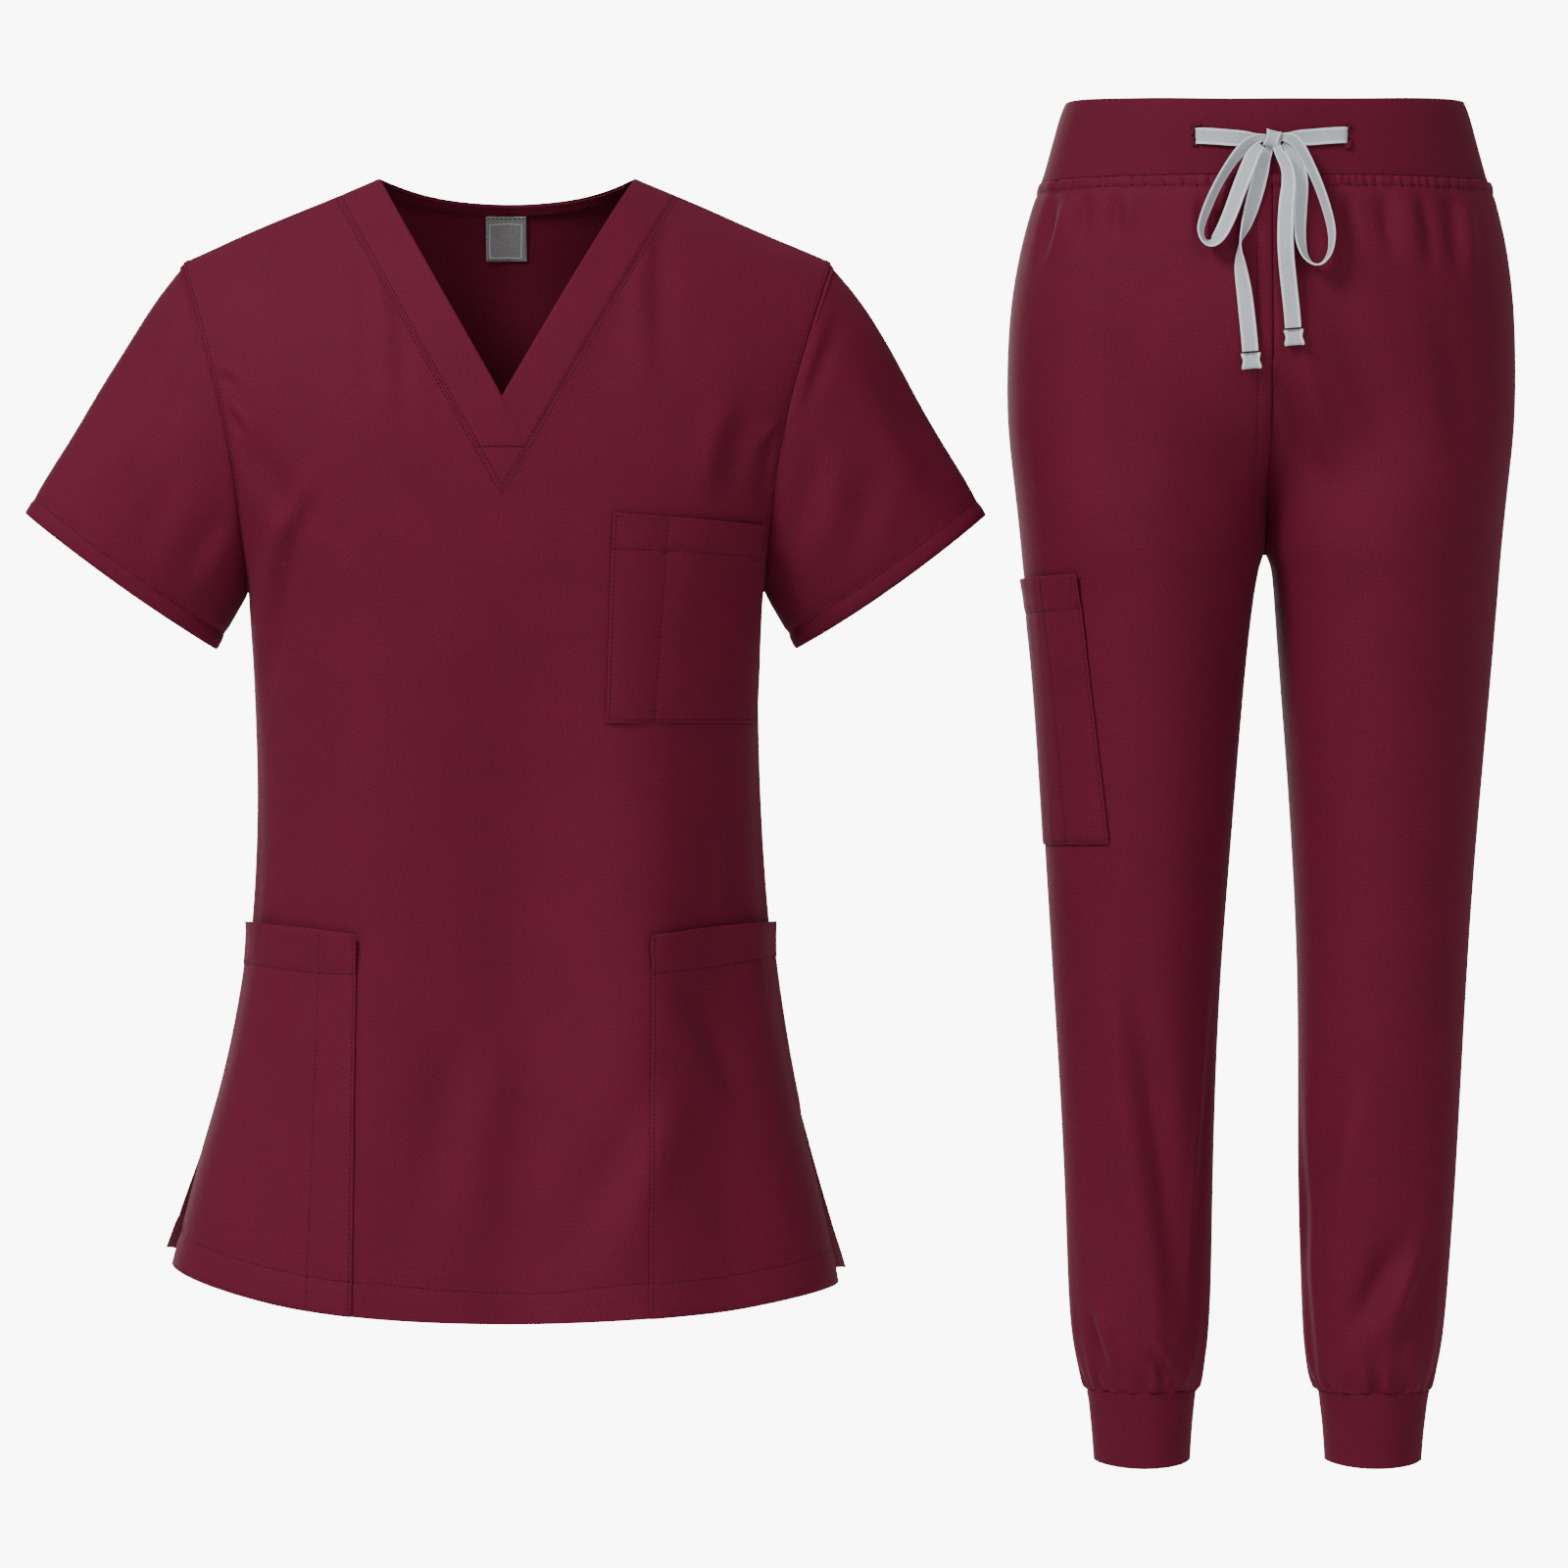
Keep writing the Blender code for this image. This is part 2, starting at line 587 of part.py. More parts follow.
def hem_sag(around, face, side):
    """How much lower each column's foot hangs than a straight line from the side's foot to the centre's."""
    row = 0 if side < 0 else 1
    centre, edge = HEM[f"{face}_centre"][row], HEM[f"{face}_side"][row]
    x = np.abs(tunic_point(around, edge, face)[:, 0])
    straight = mix(edge, centre, np.linspace(0, 1, len(around)))
    return mix(centre, edge, (x / x[0]) ** HEM_CURVE) - straight


def band_seam(share):
    """The neckband's outer seam, 0 at its point on the chest and 1 at the shoulder: (distance, drop)."""
    top = shoulder_drop(BAND_SEAM_HALF)
    return BAND_SEAM_HALF * share, mix(BAND_POINT_DROP, top, share)


TAB_SHARE = 0.139
BAND_SHARES = np.concatenate([[0.0], np.linspace(TAB_SHARE, 1.0, NECK_ROWS + 1)])


def front_half(side):
    outer = side_drops(side, "front")
    centre_rows = len(outer) - len(BAND_SHARES) + 1
    centre = np.linspace(HEM["front_centre"][0], BAND_POINT_DROP, centre_rows)
    inner = [(0.0, drop) for drop in centre]
    inner += [band_seam(share) for share in BAND_SHARES[1:]]
    columns = np.linspace(0, 1, HALF_COLUMNS + 1)
    sag = hem_sag(side * (1 - columns), "front", side)
    rows = []
    for i, (outer_drop, (inner_x, inner_drop)) in enumerate(zip(outer, inner)):
        start = armhole_around(side, outer_drop, "front")
        end = float(around_at(side * inner_x, inner_drop, "front"))
        drop = mix(outer_drop, inner_drop, columns) + sag * (1 - i / (len(outer) - 1)) ** 3
        row = tunic_point(mix(start, end, columns), drop, "front")
        if i == len(outer) - 1:
            row = shoulder_line(side, np.linspace(SHOULDER_HALF, inner_x, len(columns)))
        rows.append(row)
    return grid_sheet(np.array(rows), lambda p: (0, -1, 0))


def shoulder_line(side, x):
    return np.stack([side * x, 0 * x, -shoulder_drop(x)], axis=1)


def back_neckline(x):
    """The back's top edge between the shoulder points."""
    drop = BACK_NECK_DROP * (1 - (np.abs(x) / NECK_HALF) ** BACK_NECK_CURVE)
    return tunic_point(around_at(x, drop, "back"), drop, "back")


def back_panel():
    climbs = {}
    for side in (-1, 1):
        outer = side_drops(side, "back")
        climbs[side] = (outer[0] - outer) / (outer[0] - outer[-1])
    middle_climb = (climbs[-1] + climbs[1]) / 2
    even = np.linspace(1, 0, HALF_COLUMNS + 1)
    shoulder_x = np.linspace(SHOULDER_HALF, NECK_HALF, HALF_COLUMNS - BACK_NECK_COLUMNS + 1)
    neck_x = np.linspace(NECK_HALF, 0, BACK_NECK_COLUMNS + 1)
    halves = []
    for side in (-1, 1):
        outer = side_drops(side, "back")
        top = np.concatenate([shoulder_line(side, shoulder_x), back_neckline(side * neck_x)[1:]])
        top_around = np.abs(around_at(top[:, 0], -top[:, 2], "back"))
        sag = hem_sag(side * even, "back", side)
        rows = []
        for i, outer_drop in enumerate(outer[:-1]):
            start = abs(armhole_around(side, outer_drop, "back"))
            climbed = mix(middle_climb[i], climbs[side][i], even)
            share = mix(even, top_around / top_around[0], climbed**2)
            middle_foot = HEM["back_centre"][0]
            column_foot = mix(middle_foot, outer[0], even)
            straight = mix(column_foot, mix(-top[-1, 2], outer[-1], even), climbed)
            over = (-top[:, 2] - mix(-top[-1, 2], outer[-1], even)) * climbed**3
            drop = straight + over + sag * (1 - climbed) ** 3
            rows.append(tunic_point(side * start * share, drop, "back"))
        rows.append(top)
        halves.append(grid_sheet(np.array(rows), lambda p: (0, 1, 0)))
    return joined(*halves)


def neckline_stations():
    """The neckbands' inner edge at each of their rows, from the neck's point up to the shoulder."""
    share = np.linspace(0, 1, NECK_ROWS + 1)
    return NECK_HALF * share, mix(NECK_POINT_DROP, 0.0, share)


def neckband(side):
    """A straight folded band along one side of the neck. The left band runs on over the right band's end."""
    seam = [band_seam(share) for share in BAND_SHARES[1:]]
    neck_x, neck_drop = neckline_stations()
    inner = [(side * x, drop) for x, drop in zip(neck_x, neck_drop)]
    outer = [(side * x, drop) for x, drop in seam]
    if side < 0:
        inner = [(seam[0][0], seam[0][1])] + [
            (side * x, drop)
            for x, drop in zip(
                np.linspace(0, NECK_HALF, NECK_ROWS), np.linspace(NECK_POINT_DROP, 0, NECK_ROWS)
            )
        ]
    rows = []
    for (inner_x, inner_drop), (outer_x, outer_drop) in zip(inner, outer):
        across = np.linspace(0, 1, 4)
        x = mix(outer_x, inner_x, across)
        drop = mix(outer_drop, inner_drop, across)
        row = tunic_point(around_at(x, drop, "front"), drop, "front")
        rows.append(row)
    rows[-1][:, 1] = 0.0
    return grid_sheet(np.array(rows), lambda p: (0, -1, 0))


def neck_tab():
    """The point below the crossed bands: their sewn-down ends, a small triangle."""
    half, top = band_seam(TAB_SHARE)
    rows = []
    for share in (1.0, 0.55, 0.04):
        x = np.linspace(-half, half, 4) * share
        drop = mix(BAND_POINT_DROP, top, share) + 0 * x
        rows.append(tunic_point(around_at(x, drop, "front"), drop, "front"))
    return grid_sheet(np.array(rows), lambda p: (0, -1, 0))


def armhole_loop(side):
    """The armhole from the shoulder point down the front to the underarm and up the back."""
    drops = side_drops(side, "front")[VENT_ROWS + BODY_ROWS :]
    front = [tunic_point(armhole_around(side, d, "front"), d, "front") for d in drops]
    back = [tunic_point(armhole_around(side, d, "back"), d, "back") for d in drops]
    front[-1] = np.array([side * SHOULDER_HALF, 0, -shoulder_drop(SHOULDER_HALF)])
    return np.array(front[::-1] + back[1:-1])


def sleeve(side):
    """A set-in sleeve: the armhole's loop drawn out to the oval of the sleeve's hem."""
    row = 0 if side < 0 else 1
    half, slope, centre_x, centre_drop, crown, hem_bow = (
        SLEEVE[name][row] for name in ("half", "slope", "centre", "drop", "crown", "hem_bow")
    )
    start = armhole_loop(side)
    turn = 2 * math.pi * np.arange(len(start)) / len(start)
    slope = math.radians(slope)
    across = np.array([side * math.cos(slope), 0, math.sin(slope)])
    axis = np.array([side * math.sin(slope), 0, -math.cos(slope)])
    centre = np.array([side * centre_x, SLEEVE_END_BACK, -centre_drop])
    end = centre + np.outer(np.cos(turn), across) * half + np.outer(np.sin(turn) ** 2, axis) * hem_bow
    end[:, 1] -= np.sin(turn) * CUFF_DEPTH / 2
    rows = []
    for t in np.linspace(0, 1, SLEEVE_RINGS + 1):
        ring = mix(start, end, t)
        ring[:, 1] -= np.sin(turn) * SLEEVE_SWELL * math.sin(math.pi * t)
        ring += np.outer(np.maximum(np.cos(turn), 0) ** 2 * crown * math.sin(math.pi * t**0.5), across)
        rows.append(ring)
    axis = centre - start.mean(axis=0)
    axis /= np.linalg.norm(axis)

    def outward(p):
        away = p - start.mean(axis=0)
        return away - axis * np.dot(away, axis)

    return grid_sheet(np.array(rows), outward, ring=True)


# ---------------------------------------------------------------- what lies on the tunic


def mouth_gape(sheet, below, height, fade):
    """How far each point of a pocket stands off, most along its open edge."""
    return height * np.exp(-np.maximum(below(sheet.points), 0.0) / fade)


def pocket(panel, top, edges, hem=None):
    """A patch pocket cut from the panel's own face: below top, inside edges, above hem."""
    sheet = panel
    for field in (top, *edges, *([hem] if hem else [])):
        sheet = trimmed(sheet, field)

    def below_hem(points):
        return top(points) - POCKET_HEM

    return trimmed(sheet, below_hem, keep_all=True)


def chest_pocket(panel):
    at = CHEST_POCKET
    top = level_line(*at["inner_top"], *at["outer_top"])
    inner = upright_line(*at["inner_top"], *at["inner_foot"])
    outer = opposite(upright_line(*at["outer_top"], *at["outer_foot"]))
    foot = opposite(level_line(*at["inner_foot"], *at["outer_foot"]))
    return pocket(panel, top, [inner, outer], foot), top


def hip_pocket(panel, side):
    at = HIP_POCKET[side]
    top = level_line(*at["inner_top"], *at["outer_top"])
    inner = upright_line(*at["inner_top"], *at["inner_foot"])
    return pocket(panel, top, [opposite(inner) if side < 0 else inner]), top


def back_neck_tape(panel):
    """The narrow tape that finishes the back of the neck, inside."""

    def near_neckline(points):
        share = np.abs(points[:, 0]) / NECK_HALF
        edge = BACK_NECK_DROP * (1 - np.minimum(share, 1.0) ** BACK_NECK_CURVE)
        return edge + NECK_TAPE + points[:, 2]

    sheet = trimmed(panel, near_neckline)
    for side in (-1, 1):
        sheet = trimmed(sheet, lambda points: NECK_HALF - NECK_TAPE_SHORT - side * points[:, 0])
    return sheet


def neck_label(panel):
    left, right = LABEL_AT - LABEL_WIDTH / 2, LABEL_AT + LABEL_WIDTH / 2
    top, bottom = LABEL_DROP, LABEL_DROP + LABEL_HEIGHT
    sheet = panel
    for field in (
        upright_line(left, top, left, bottom),
        opposite(upright_line(right, top, right, bottom)),
        level_line(left, top, right, top),
        opposite(level_line(left, bottom, right, bottom)),
    ):
        sheet = trimmed(sheet, field)
    return sheet


# ---------------------------------------------------------------- trouser pieces

LEG_COLUMNS = 16
LEG_DROPS = np.array(
    [WAIST_SEAM, 0.056, 0.068, 0.092, 0.130, 0.170, 0.205, 0.235, 0.260, CROTCH, 0.298, 0.320, 0.365]
    + [0.425, 0.490, 0.560, 0.630, 0.700, 0.755, 0.790, 0.812, 0.826, CUFF_SEAM]
)
GATHER_WAIST = table("drop  depth", (0.049, 0.0011), (0.060, 0.0009), (0.095, 0.0003), (0.14, 0.0))
GATHER_CUFF = table("drop  depth", (0.72, 0.0), (0.785, 0.0010), (0.815, 0.0020), (CUFF_SEAM, 0.0022))
GATHER_RIDGE = 0.35  # how far every second column stands out, as a share of how far the others sink
GATHER_UNEVEN = 0.35  # how much deeper the deepest gathers are than the usual ones
# Long soft folds of the legs. The face is 1 for the front, -1 for the back and 0 for both; a fold lies
# around its drop, and around a share of the way from the side seam to the inseam, which shifts with the
# drop.
LEG_FOLDS = table(
    "face  depth  drop  length  share  shift  pivot  width",
    (0, 0.0045, 0.70, 0.22, 0.30, 1.1, 0.62, 0.26),
    (1, 0.0050, 0.22, 0.20, 0.78, -0.9, 0.16, 0.22),
    (-1, 0.0050, 0.31, 0.12, 0.55, 0.0, 0.31, 0.50),
)
WAISTBAND_DROPS = (0.0, 0.006, 0.016, 0.033, WAIST_SEAM)
WAISTBAND_COLUMNS = 40
CUFF_DROPS = (CUFF_SEAM, 0.8440, 0.8620, CUFF_END)
CUFF_COLUMNS = 24


def trouser_panel(leg, face):
    """A leg panel from waist to cuff, with its cloth gathered into the waistband and into the cuff."""
    towards = 1 if face == "front" else -1
    turn = towards * np.linspace(0, 1, LEG_COLUMNS + 1)
    grid = np.array([leg_point(leg, turn, drop) for drop in LEG_DROPS])
    # A point at turn 0 belongs to both panels, so its side is stated and not read from its sign.
    middle = grid.mean(axis=1, keepdims=True) * (1, 0, 1)
    away = grid - middle
    away[..., 2] = 0
    away /= np.linalg.norm(away, axis=2, keepdims=True)
    ridge = np.where(np.arange(LEG_COLUMNS + 1) % 2 == 0, -1.0, GATHER_RIDGE)
    ridge[[0, -1]] = 0
    unevenness = 1 + GATHER_UNEVEN * np.sin(2.3 * np.arange(LEG_COLUMNS + 1) + leg)
    depth = smooth(GATHER_WAIST, "depth", LEG_DROPS) * (LEG_DROPS < 0.2)
    depth = depth + smooth(GATHER_CUFF, "depth", LEG_DROPS) * (LEG_DROPS > 0.6)
    grid = grid + away * (depth[:, None] * ridge * unevenness)[..., None]
    grid[..., 1] += towards * leg_folds(towards, np.abs(turn), LEG_DROPS)
    return grid_sheet(grid, lambda p: (0, -towards, 0))


def leg_folds(face, share, drops):
    """How far the long soft folds sink into the leg, at a share of the way to the inseam and a drop."""
    share, drop = share[None, :], drops[:, None]
    fold = 0.0
    for side, depth, middle, length, at, shift, pivot, width in zip(*LEG_FOLDS.values()):
        if side in (0, face):
            across = share - at - shift * (drop - pivot)
            fold = fold + depth * bump(drop, middle, length) * bump(across, 0.0, width)
    return fold * np.sin(math.pi * share) ** 2


def waistband_sheet():
    around = np.arange(WAISTBAND_COLUMNS) / WAISTBAND_COLUMNS
    grid = np.array([waist_point(around, drop) for drop in WAISTBAND_DROPS])
    return grid_sheet(grid, lambda p: p * (1, 1, 0), ring=True)


def cuff_sheet(leg):
    half = CUFF_COLUMNS // 2
    turn = np.concatenate([np.linspace(0, 1, half + 1), np.linspace(-1, 0, half + 1)[1:-1]])
    grid = []
    for drop in CUFF_DROPS:
        row = leg_point(leg, turn, drop, CUFF)
        share = (drop - CUFF_SEAM) / (CUFF_END - CUFF_SEAM)
        row[:, 2] -= CUFF_END_DIP * share**3 * (np.abs(row[:, 1]) / CUFF_HALF_DEPTH) ** 1.5
        grid.append(row)
    return grid_sheet(np.array(grid), lambda p: (p - (leg * CUFF_MIDDLE, 0, 0)) * (1, 1, 0), ring=True)


def cargo_pocket(front, back):
    """A patch pocket that lies over the left leg's side seam, cut from both panels' faces."""
    at = CARGO_POCKET
    top = level_line(*at["outer_top"], *at["inner_top"])
    inner = opposite(upright_line(*at["inner_top"], *at["inner_foot"]))
    foot = opposite(level_line(*at["outer_foot"], *at["inner_foot"]))
    return pocket(joined(front, back), top, [inner], foot), top


# ---------------------------------------------------------------- drawstring

# Routes from the eyelet to the knot, round the loop, and from the knot to the end, as seen from the front.
# side and drop are millimetres from the trousers' centre and top edge, out is the distance in front of the
# cloth, and turn is how far the flat string is twisted away from lying face on, in degrees.
RUN_LEFT = table(
    "side  drop  out  turn",
    (-48.7, 24.2, -1.8, 0),
    (-48.4, 24.2, 0.3, 0),
    (-46.6, 24.2, 1.9, 0),
    (-42.5, 24.4, 2.3, 0),
    (-34.0, 25.0, 2.4, 0),
    (-22.0, 26.0, 2.3, 0),
    (-12.0, 26.2, 2.2, 0),
    (-6.8, 25.9, 2.2, 0),
)
LOOP_LEFT = table(
    "side  drop  out  turn",
    (-7.9, 26.2, 5.6, 4),
    (-15.6, 30.0, 6.4, 35),
    (-25.0, 40.0, 7.0, 55),
    (-34.5, 55.0, 7.4, 60),
    (-42.0, 71.0, 7.4, 60),
    (-46.3, 84.0, 7.4, 66),
    (-45.0, 91.6, 7.6, 74),
    (-39.6, 94.0, 8.2, 62),
    (-34.0, 88.5, 9.4, 40),
    (-28.0, 76.0, 10.2, 30),
    (-21.6, 59.0, 10.4, 26),
    (-15.6, 44.0, 9.4, 26),
    (-12.0, 36.0, 9.0, 20),
    (-7.4, 30.8, 8.2, 4),
)
TAIL_LEFT = table(
    "side  drop  out  turn",
    (-2.2, 33.4, 2.2, 0),
    (-6.0, 42.0, 3.2, 4),
    (-10.6, 60.0, 3.8, 12),
    (-16.2, 79.0, 5.0, 44),
    (-20.6, 91.0, 6.2, 80),
    (-21.8, 99.0, 6.4, 100),
    (-21.0, 110.0, 5.2, 132),
    (-18.6, 126.0, 3.6, 156),
    (-16.8, 142.0, 2.6, 168),
    (-15.4, 156.0, 2.2, 174),
    (-14.8, 163.6, 2.0, 176),
)
RUN_RIGHT = table(
    "side  drop  out  turn",
    (48.7, 23.7, -1.8, 0),
    (48.4, 23.7, 0.3, 0),
    (46.6, 23.7, 1.9, 0),
    (42.5, 23.9, 2.3, 0),
    (34.0, 24.5, 2.4, 0),
    (24.0, 25.4, 2.3, 0),
    (13.0, 25.6, 2.2, 0),
    (6.6, 25.4, 2.2, 0),
)
LOOP_RIGHT = table(
    "side  drop  out  turn",
    (7.0, 25.2, 7.4, -4),
    (14.2, 28.2, 8.2, -36),
    (20.6, 37.5, 8.0, -56),
    (27.6, 52.5, 7.6, -62),
    (33.6, 69.5, 7.4, -64),
    (37.4, 86.0, 7.4, -68),
    (36.6, 99.0, 7.4, -78),
    (31.6, 107.0, 7.2, -86),
    (25.2, 107.6, 6.8, -84),
    (19.6, 101.0, 6.2, -66),
    (17.2, 88.0, 5.4, -46),
    (17.4, 72.0, 4.6, -32),
    (18.2, 56.0, 4.4, -28),
    (16.0, 42.0, 4.4, -24),
    (11.4, 33.0, 4.4, -16),
    (7.1, 29.2, 4.6, -4),
)
TAIL_RIGHT = table(
    "side  drop  out  turn",
    (3.2, 33.2, 7.0, -20),
    (8.6, 44.0, 9.6, -44),
    (10.0, 55.0, 10.2, -34),
    (8.4, 70.0, 10.0, -22),
    (7.6, 88.0, 9.0, -12),
    (8.2, 104.0, 7.6, -4),
    (10.0, 122.0, 5.4, 0),
    (11.8, 138.0, 3.4, 0),
    (12.6, 148.6, 2.4, 0),
)


def spline(values, at):
    """Catmull-Rom through evenly spaced values, at places counted in steps."""
    padded = np.concatenate([[2 * values[0] - values[1]], values, [2 * values[-1] - values[-2]]])
    i = np.clip(at.astype(int), 0, len(values) - 2)
    t = at - i
    a, b, c, d = (padded[i + k] for k in range(4))
    return 0.5 * (2 * b + (c - a) * t + (2 * a - 5 * b + 4 * c - d) * t**2 + (3 * b - a - 3 * c + d) * t**3)


STRING_STEPS = 3  # rings between one point of a route and the next


def string_path(route):
    """Points down the middle of a stretch of string, and the directions across and through it, as long as
    the string is wide and thick there: the knot pinches it to half its width."""
    legs = len(route["side"]) - 1
    at = np.linspace(0, legs, STRING_STEPS * legs + 1)
    side, drop, out = (spline(route[name], at) / 1000 for name in ("side", "drop", "out"))
    turn = np.radians(spline(route["turn"], at))
    y = [-front_at(x, d) - o for x, d, o in zip(side, drop, out)]
    middle = np.stack([side, np.array(y), -drop], axis=1)
    along = np.gradient(middle, axis=0)
    along /= np.linalg.norm(along, axis=1, keepdims=True)
    towards = np.array([0.0, -1.0, 0.0])
    level = np.cross(along, towards)
    level /= np.linalg.norm(level, axis=1, keepdims=True)
    across = level * np.cos(turn)[:, None] + towards * np.sin(turn)[:, None]
    across -= along * (across * along).sum(axis=1, keepdims=True)
    across /= np.linalg.norm(across, axis=1, keepdims=True)
    from_knot = np.linalg.norm(middle[:, [0, 2]] - (0, -KNOT_DROP), axis=1) - KNOT_SIZE[0] / 2
    pinched = 1 - 0.5 * np.exp(-((np.maximum(from_knot, 0) / PINCH_REACH) ** 2))
    through = np.cross(across, along) * STRING_THICK / 2
    return middle, across * (pinched * STRING_WIDTH / 2)[:, None], through


def string(name, route, material, parent):
    """A stretch of the flat drawstring, as a four-sided tube."""
    middle, wide, thick = string_path(route)
    corners = (wide + thick, wide - thick, -wide - thick, thick - wide)
    points = np.concatenate([middle + corner for corner in corners])
    count = len(middle)
    faces = []
    for i in range(count - 1):
        for k in range(4):
            a, b = k * count, (k + 1) % 4 * count
            faces.append((a + i, b + i, b + i + 1, a + i + 1))
    faces.append((3 * count, 2 * count, count, 0))
    faces.append(tuple(k * count + count - 1 for k in range(4)))
    return solid(name, points, faces, material, parent)


def soft_block(name, centre, size, tilt, parent):
    """A small folded lump of string: a box with round edges."""
    bpy.ops.mesh.primitive_cube_add(size=1, location=centre, rotation=(0, math.radians(tilt), 0))
    block = bpy.context.object
    block.name = name
    block.scale = size
    bpy.ops.object.transform_apply(location=False, rotation=False, scale=True)
    rounding = block.modifiers.new("Round", "BEVEL")
    rounding.width = 0.3 * min(size)
    rounding.segments = 2
    block.data.materials.append(principled(name, SILVER, 0.75))
    for collection in block.users_collection:
        collection.objects.unlink(block)
    SCRUBS.objects.link(block)
    block.parent = parent
    return block


def cut_eyelets(band, parent):
    """Two upright slots in the waistband's front, where the drawstring comes out."""
    for name, side in (("left", -1), ("right", 1)):
        x = side * EYELET_HALF
        bpy.ops.mesh.primitive_cube_add(size=1, location=(x, -front_at(x, EYELET_DROP), -EYELET_DROP))
        slot = bpy.context.object
        slot.name = f"eyelet_cutter_{name}"
        slot.scale = (EYELET_WIDE, EYELET_CUT, EYELET_TALL)
        bpy.ops.object.transform_apply(location=False, rotation=False, scale=True)
        slot.hide_render = True
        slot.display_type = "WIRE"
        slot.parent = parent
        for collection in slot.users_collection:
            collection.objects.unlink(slot)
        CUTTERS.objects.link(slot)
        cut = band.modifiers.new(f"Eyelet {name}", "BOOLEAN")
        cut.operation = "DIFFERENCE"
        cut.solver = "EXACT"
        cut.object = slot


# ---------------------------------------------------------------- build

for leftover in list(bpy.data.objects):
    bpy.data.objects.remove(leftover, do_unlink=True)

SCRUBS = bpy.data.collections.new("Medical scrubs")
CUTTERS = bpy.data.collections.new("Cutters")
bpy.context.scene.collection.children.link(SCRUBS)
bpy.context.scene.collection.children.link(CUTTERS)


def wine(name):
    return principled(name, WINE, 0.85)


def build_tunic():
    front = joined(front_half(-1), front_half(1))
    sheets = {
        "tunic_front": front,
        "tunic_back": back_panel(),
        "sleeve_left": sleeve(-1),
        "sleeve_right": sleeve(1),
        "neckband_left": neckband(-1),
        "neckband_right": neckband(1),
        "neck_tab": neck_tab(),
    }
    shared_normals(sheets.values(), planes=((1, 0.0),))
    for name, sheet in sheets.items():
        draw_in_border(sheet, SLEEVE_DRAW_IN if name.startswith("sleeve") else TUNIC_SEAM / 2)
        thickness = BAND_CLOTH if name.startswith("neck") else POPLIN
        wall(name, sheet, thickness, wine(name))
    stitched_on("chest_pocket", *chest_pocket(front), CHEST_GAPE)
    stitched_on("hip_pocket_left", *hip_pocket(front, -1), HIP_GAPE)
    stitched_on("hip_pocket_right", *hip_pocket(front, 1), HIP_GAPE)
    back = sheets["tunic_back"]
    grey = principled("neck_label", LABEL_GREY, 0.7)
    behind = -POPLIN - PATCH_LIFT
    wall("back_neck_tape", back_neck_tape(back), TAPE_CLOTH, wine("back_neck_tape"), behind - TAPE_CLOTH)
    wall("neck_label", neck_label(back), TAPE_CLOTH, grey, behind - TAPE_CLOTH)


def stitched_on(name, sheet, top, gape, parent=None):
    """A pocket on the panel that it was cut from, with its mouth standing off."""
    lift = PATCH_LIFT + mouth_gape(sheet, top, gape, MOUTH_FADE)
    wall(name, sheet, PATCH_CLOTH, wine(name), lift, parent)


def build_trousers():
    origin = bpy.data.objects.new("trousers", None)
    origin.location = TROUSERS_AT
    SCRUBS.objects.link(origin)
    sheets = {"waistband": waistband_sheet()}
    for leg, name in ((-1, "left"), (1, "right")):
        sheets[f"trouser_front_{name}"] = trouser_panel(leg, "front")
        sheets[f"trouser_back_{name}"] = trouser_panel(leg, "back")
        sheets[f"cuff_{name}"] = cuff_sheet(leg)
    planes = ((0, 0.0), (1, 0.0), (2, -WAIST_SEAM), (2, -CUFF_SEAM))
    shared_normals([s for n, s in sheets.items() if n.startswith("trouser")], planes)
    shared_normals([s for n, s in sheets.items() if not n.startswith("trouser")], planes[2:])
    cargo, mouth = cargo_pocket(sheets["trouser_front_left"], sheets["trouser_back_left"])
    stitched_on("cargo_pocket", cargo, mouth, CARGO_GAPE, origin)
    for name, sheet in sheets.items():
        draw_in_border(sheet, SEAM / 2)
        is_panel = name.startswith("trouser")
        colour = WINE if is_panel else WINE_KNIT
        thickness = POPLIN if is_panel else KNIT
        piece = wall(name, sheet, thickness, principled(name, colour, 0.85), parent=origin)
        if name == "waistband":
            cut_eyelets(piece, origin)
    build_drawstring(origin)


def build_drawstring(origin):
    routes = {
        "string_run_left": RUN_LEFT,
        "string_loop_left": LOOP_LEFT,
        "string_tail_left": TAIL_LEFT,
        "string_run_right": RUN_RIGHT,
        "string_loop_right": LOOP_RIGHT,
        "string_tail_right": TAIL_RIGHT,
    }
    for name, route in routes.items():
        string(name, route, principled(name, SILVER, 0.75), origin)
    at_knot = (0.0, -front_at(0.0, KNOT_DROP) - KNOT_OUT, -KNOT_DROP)
    soft_block("string_knot", at_knot, KNOT_SIZE, KNOT_TILT, origin)
    for name, route in (("left", TAIL_LEFT), ("right", TAIL_RIGHT)):
        middle, _, _ = string_path(route)
        soft_block(f"string_tip_{name}", middle[-1] + TIP_OFFSET, TIP_SIZE, TIP_TILT, origin)


build_tunic()
build_trousers()
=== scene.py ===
import math

import bmesh
import bpy
import numpy as np
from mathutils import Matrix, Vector
from mathutils.bvhtree import BVHTree
from mathutils.kdtree import KDTree


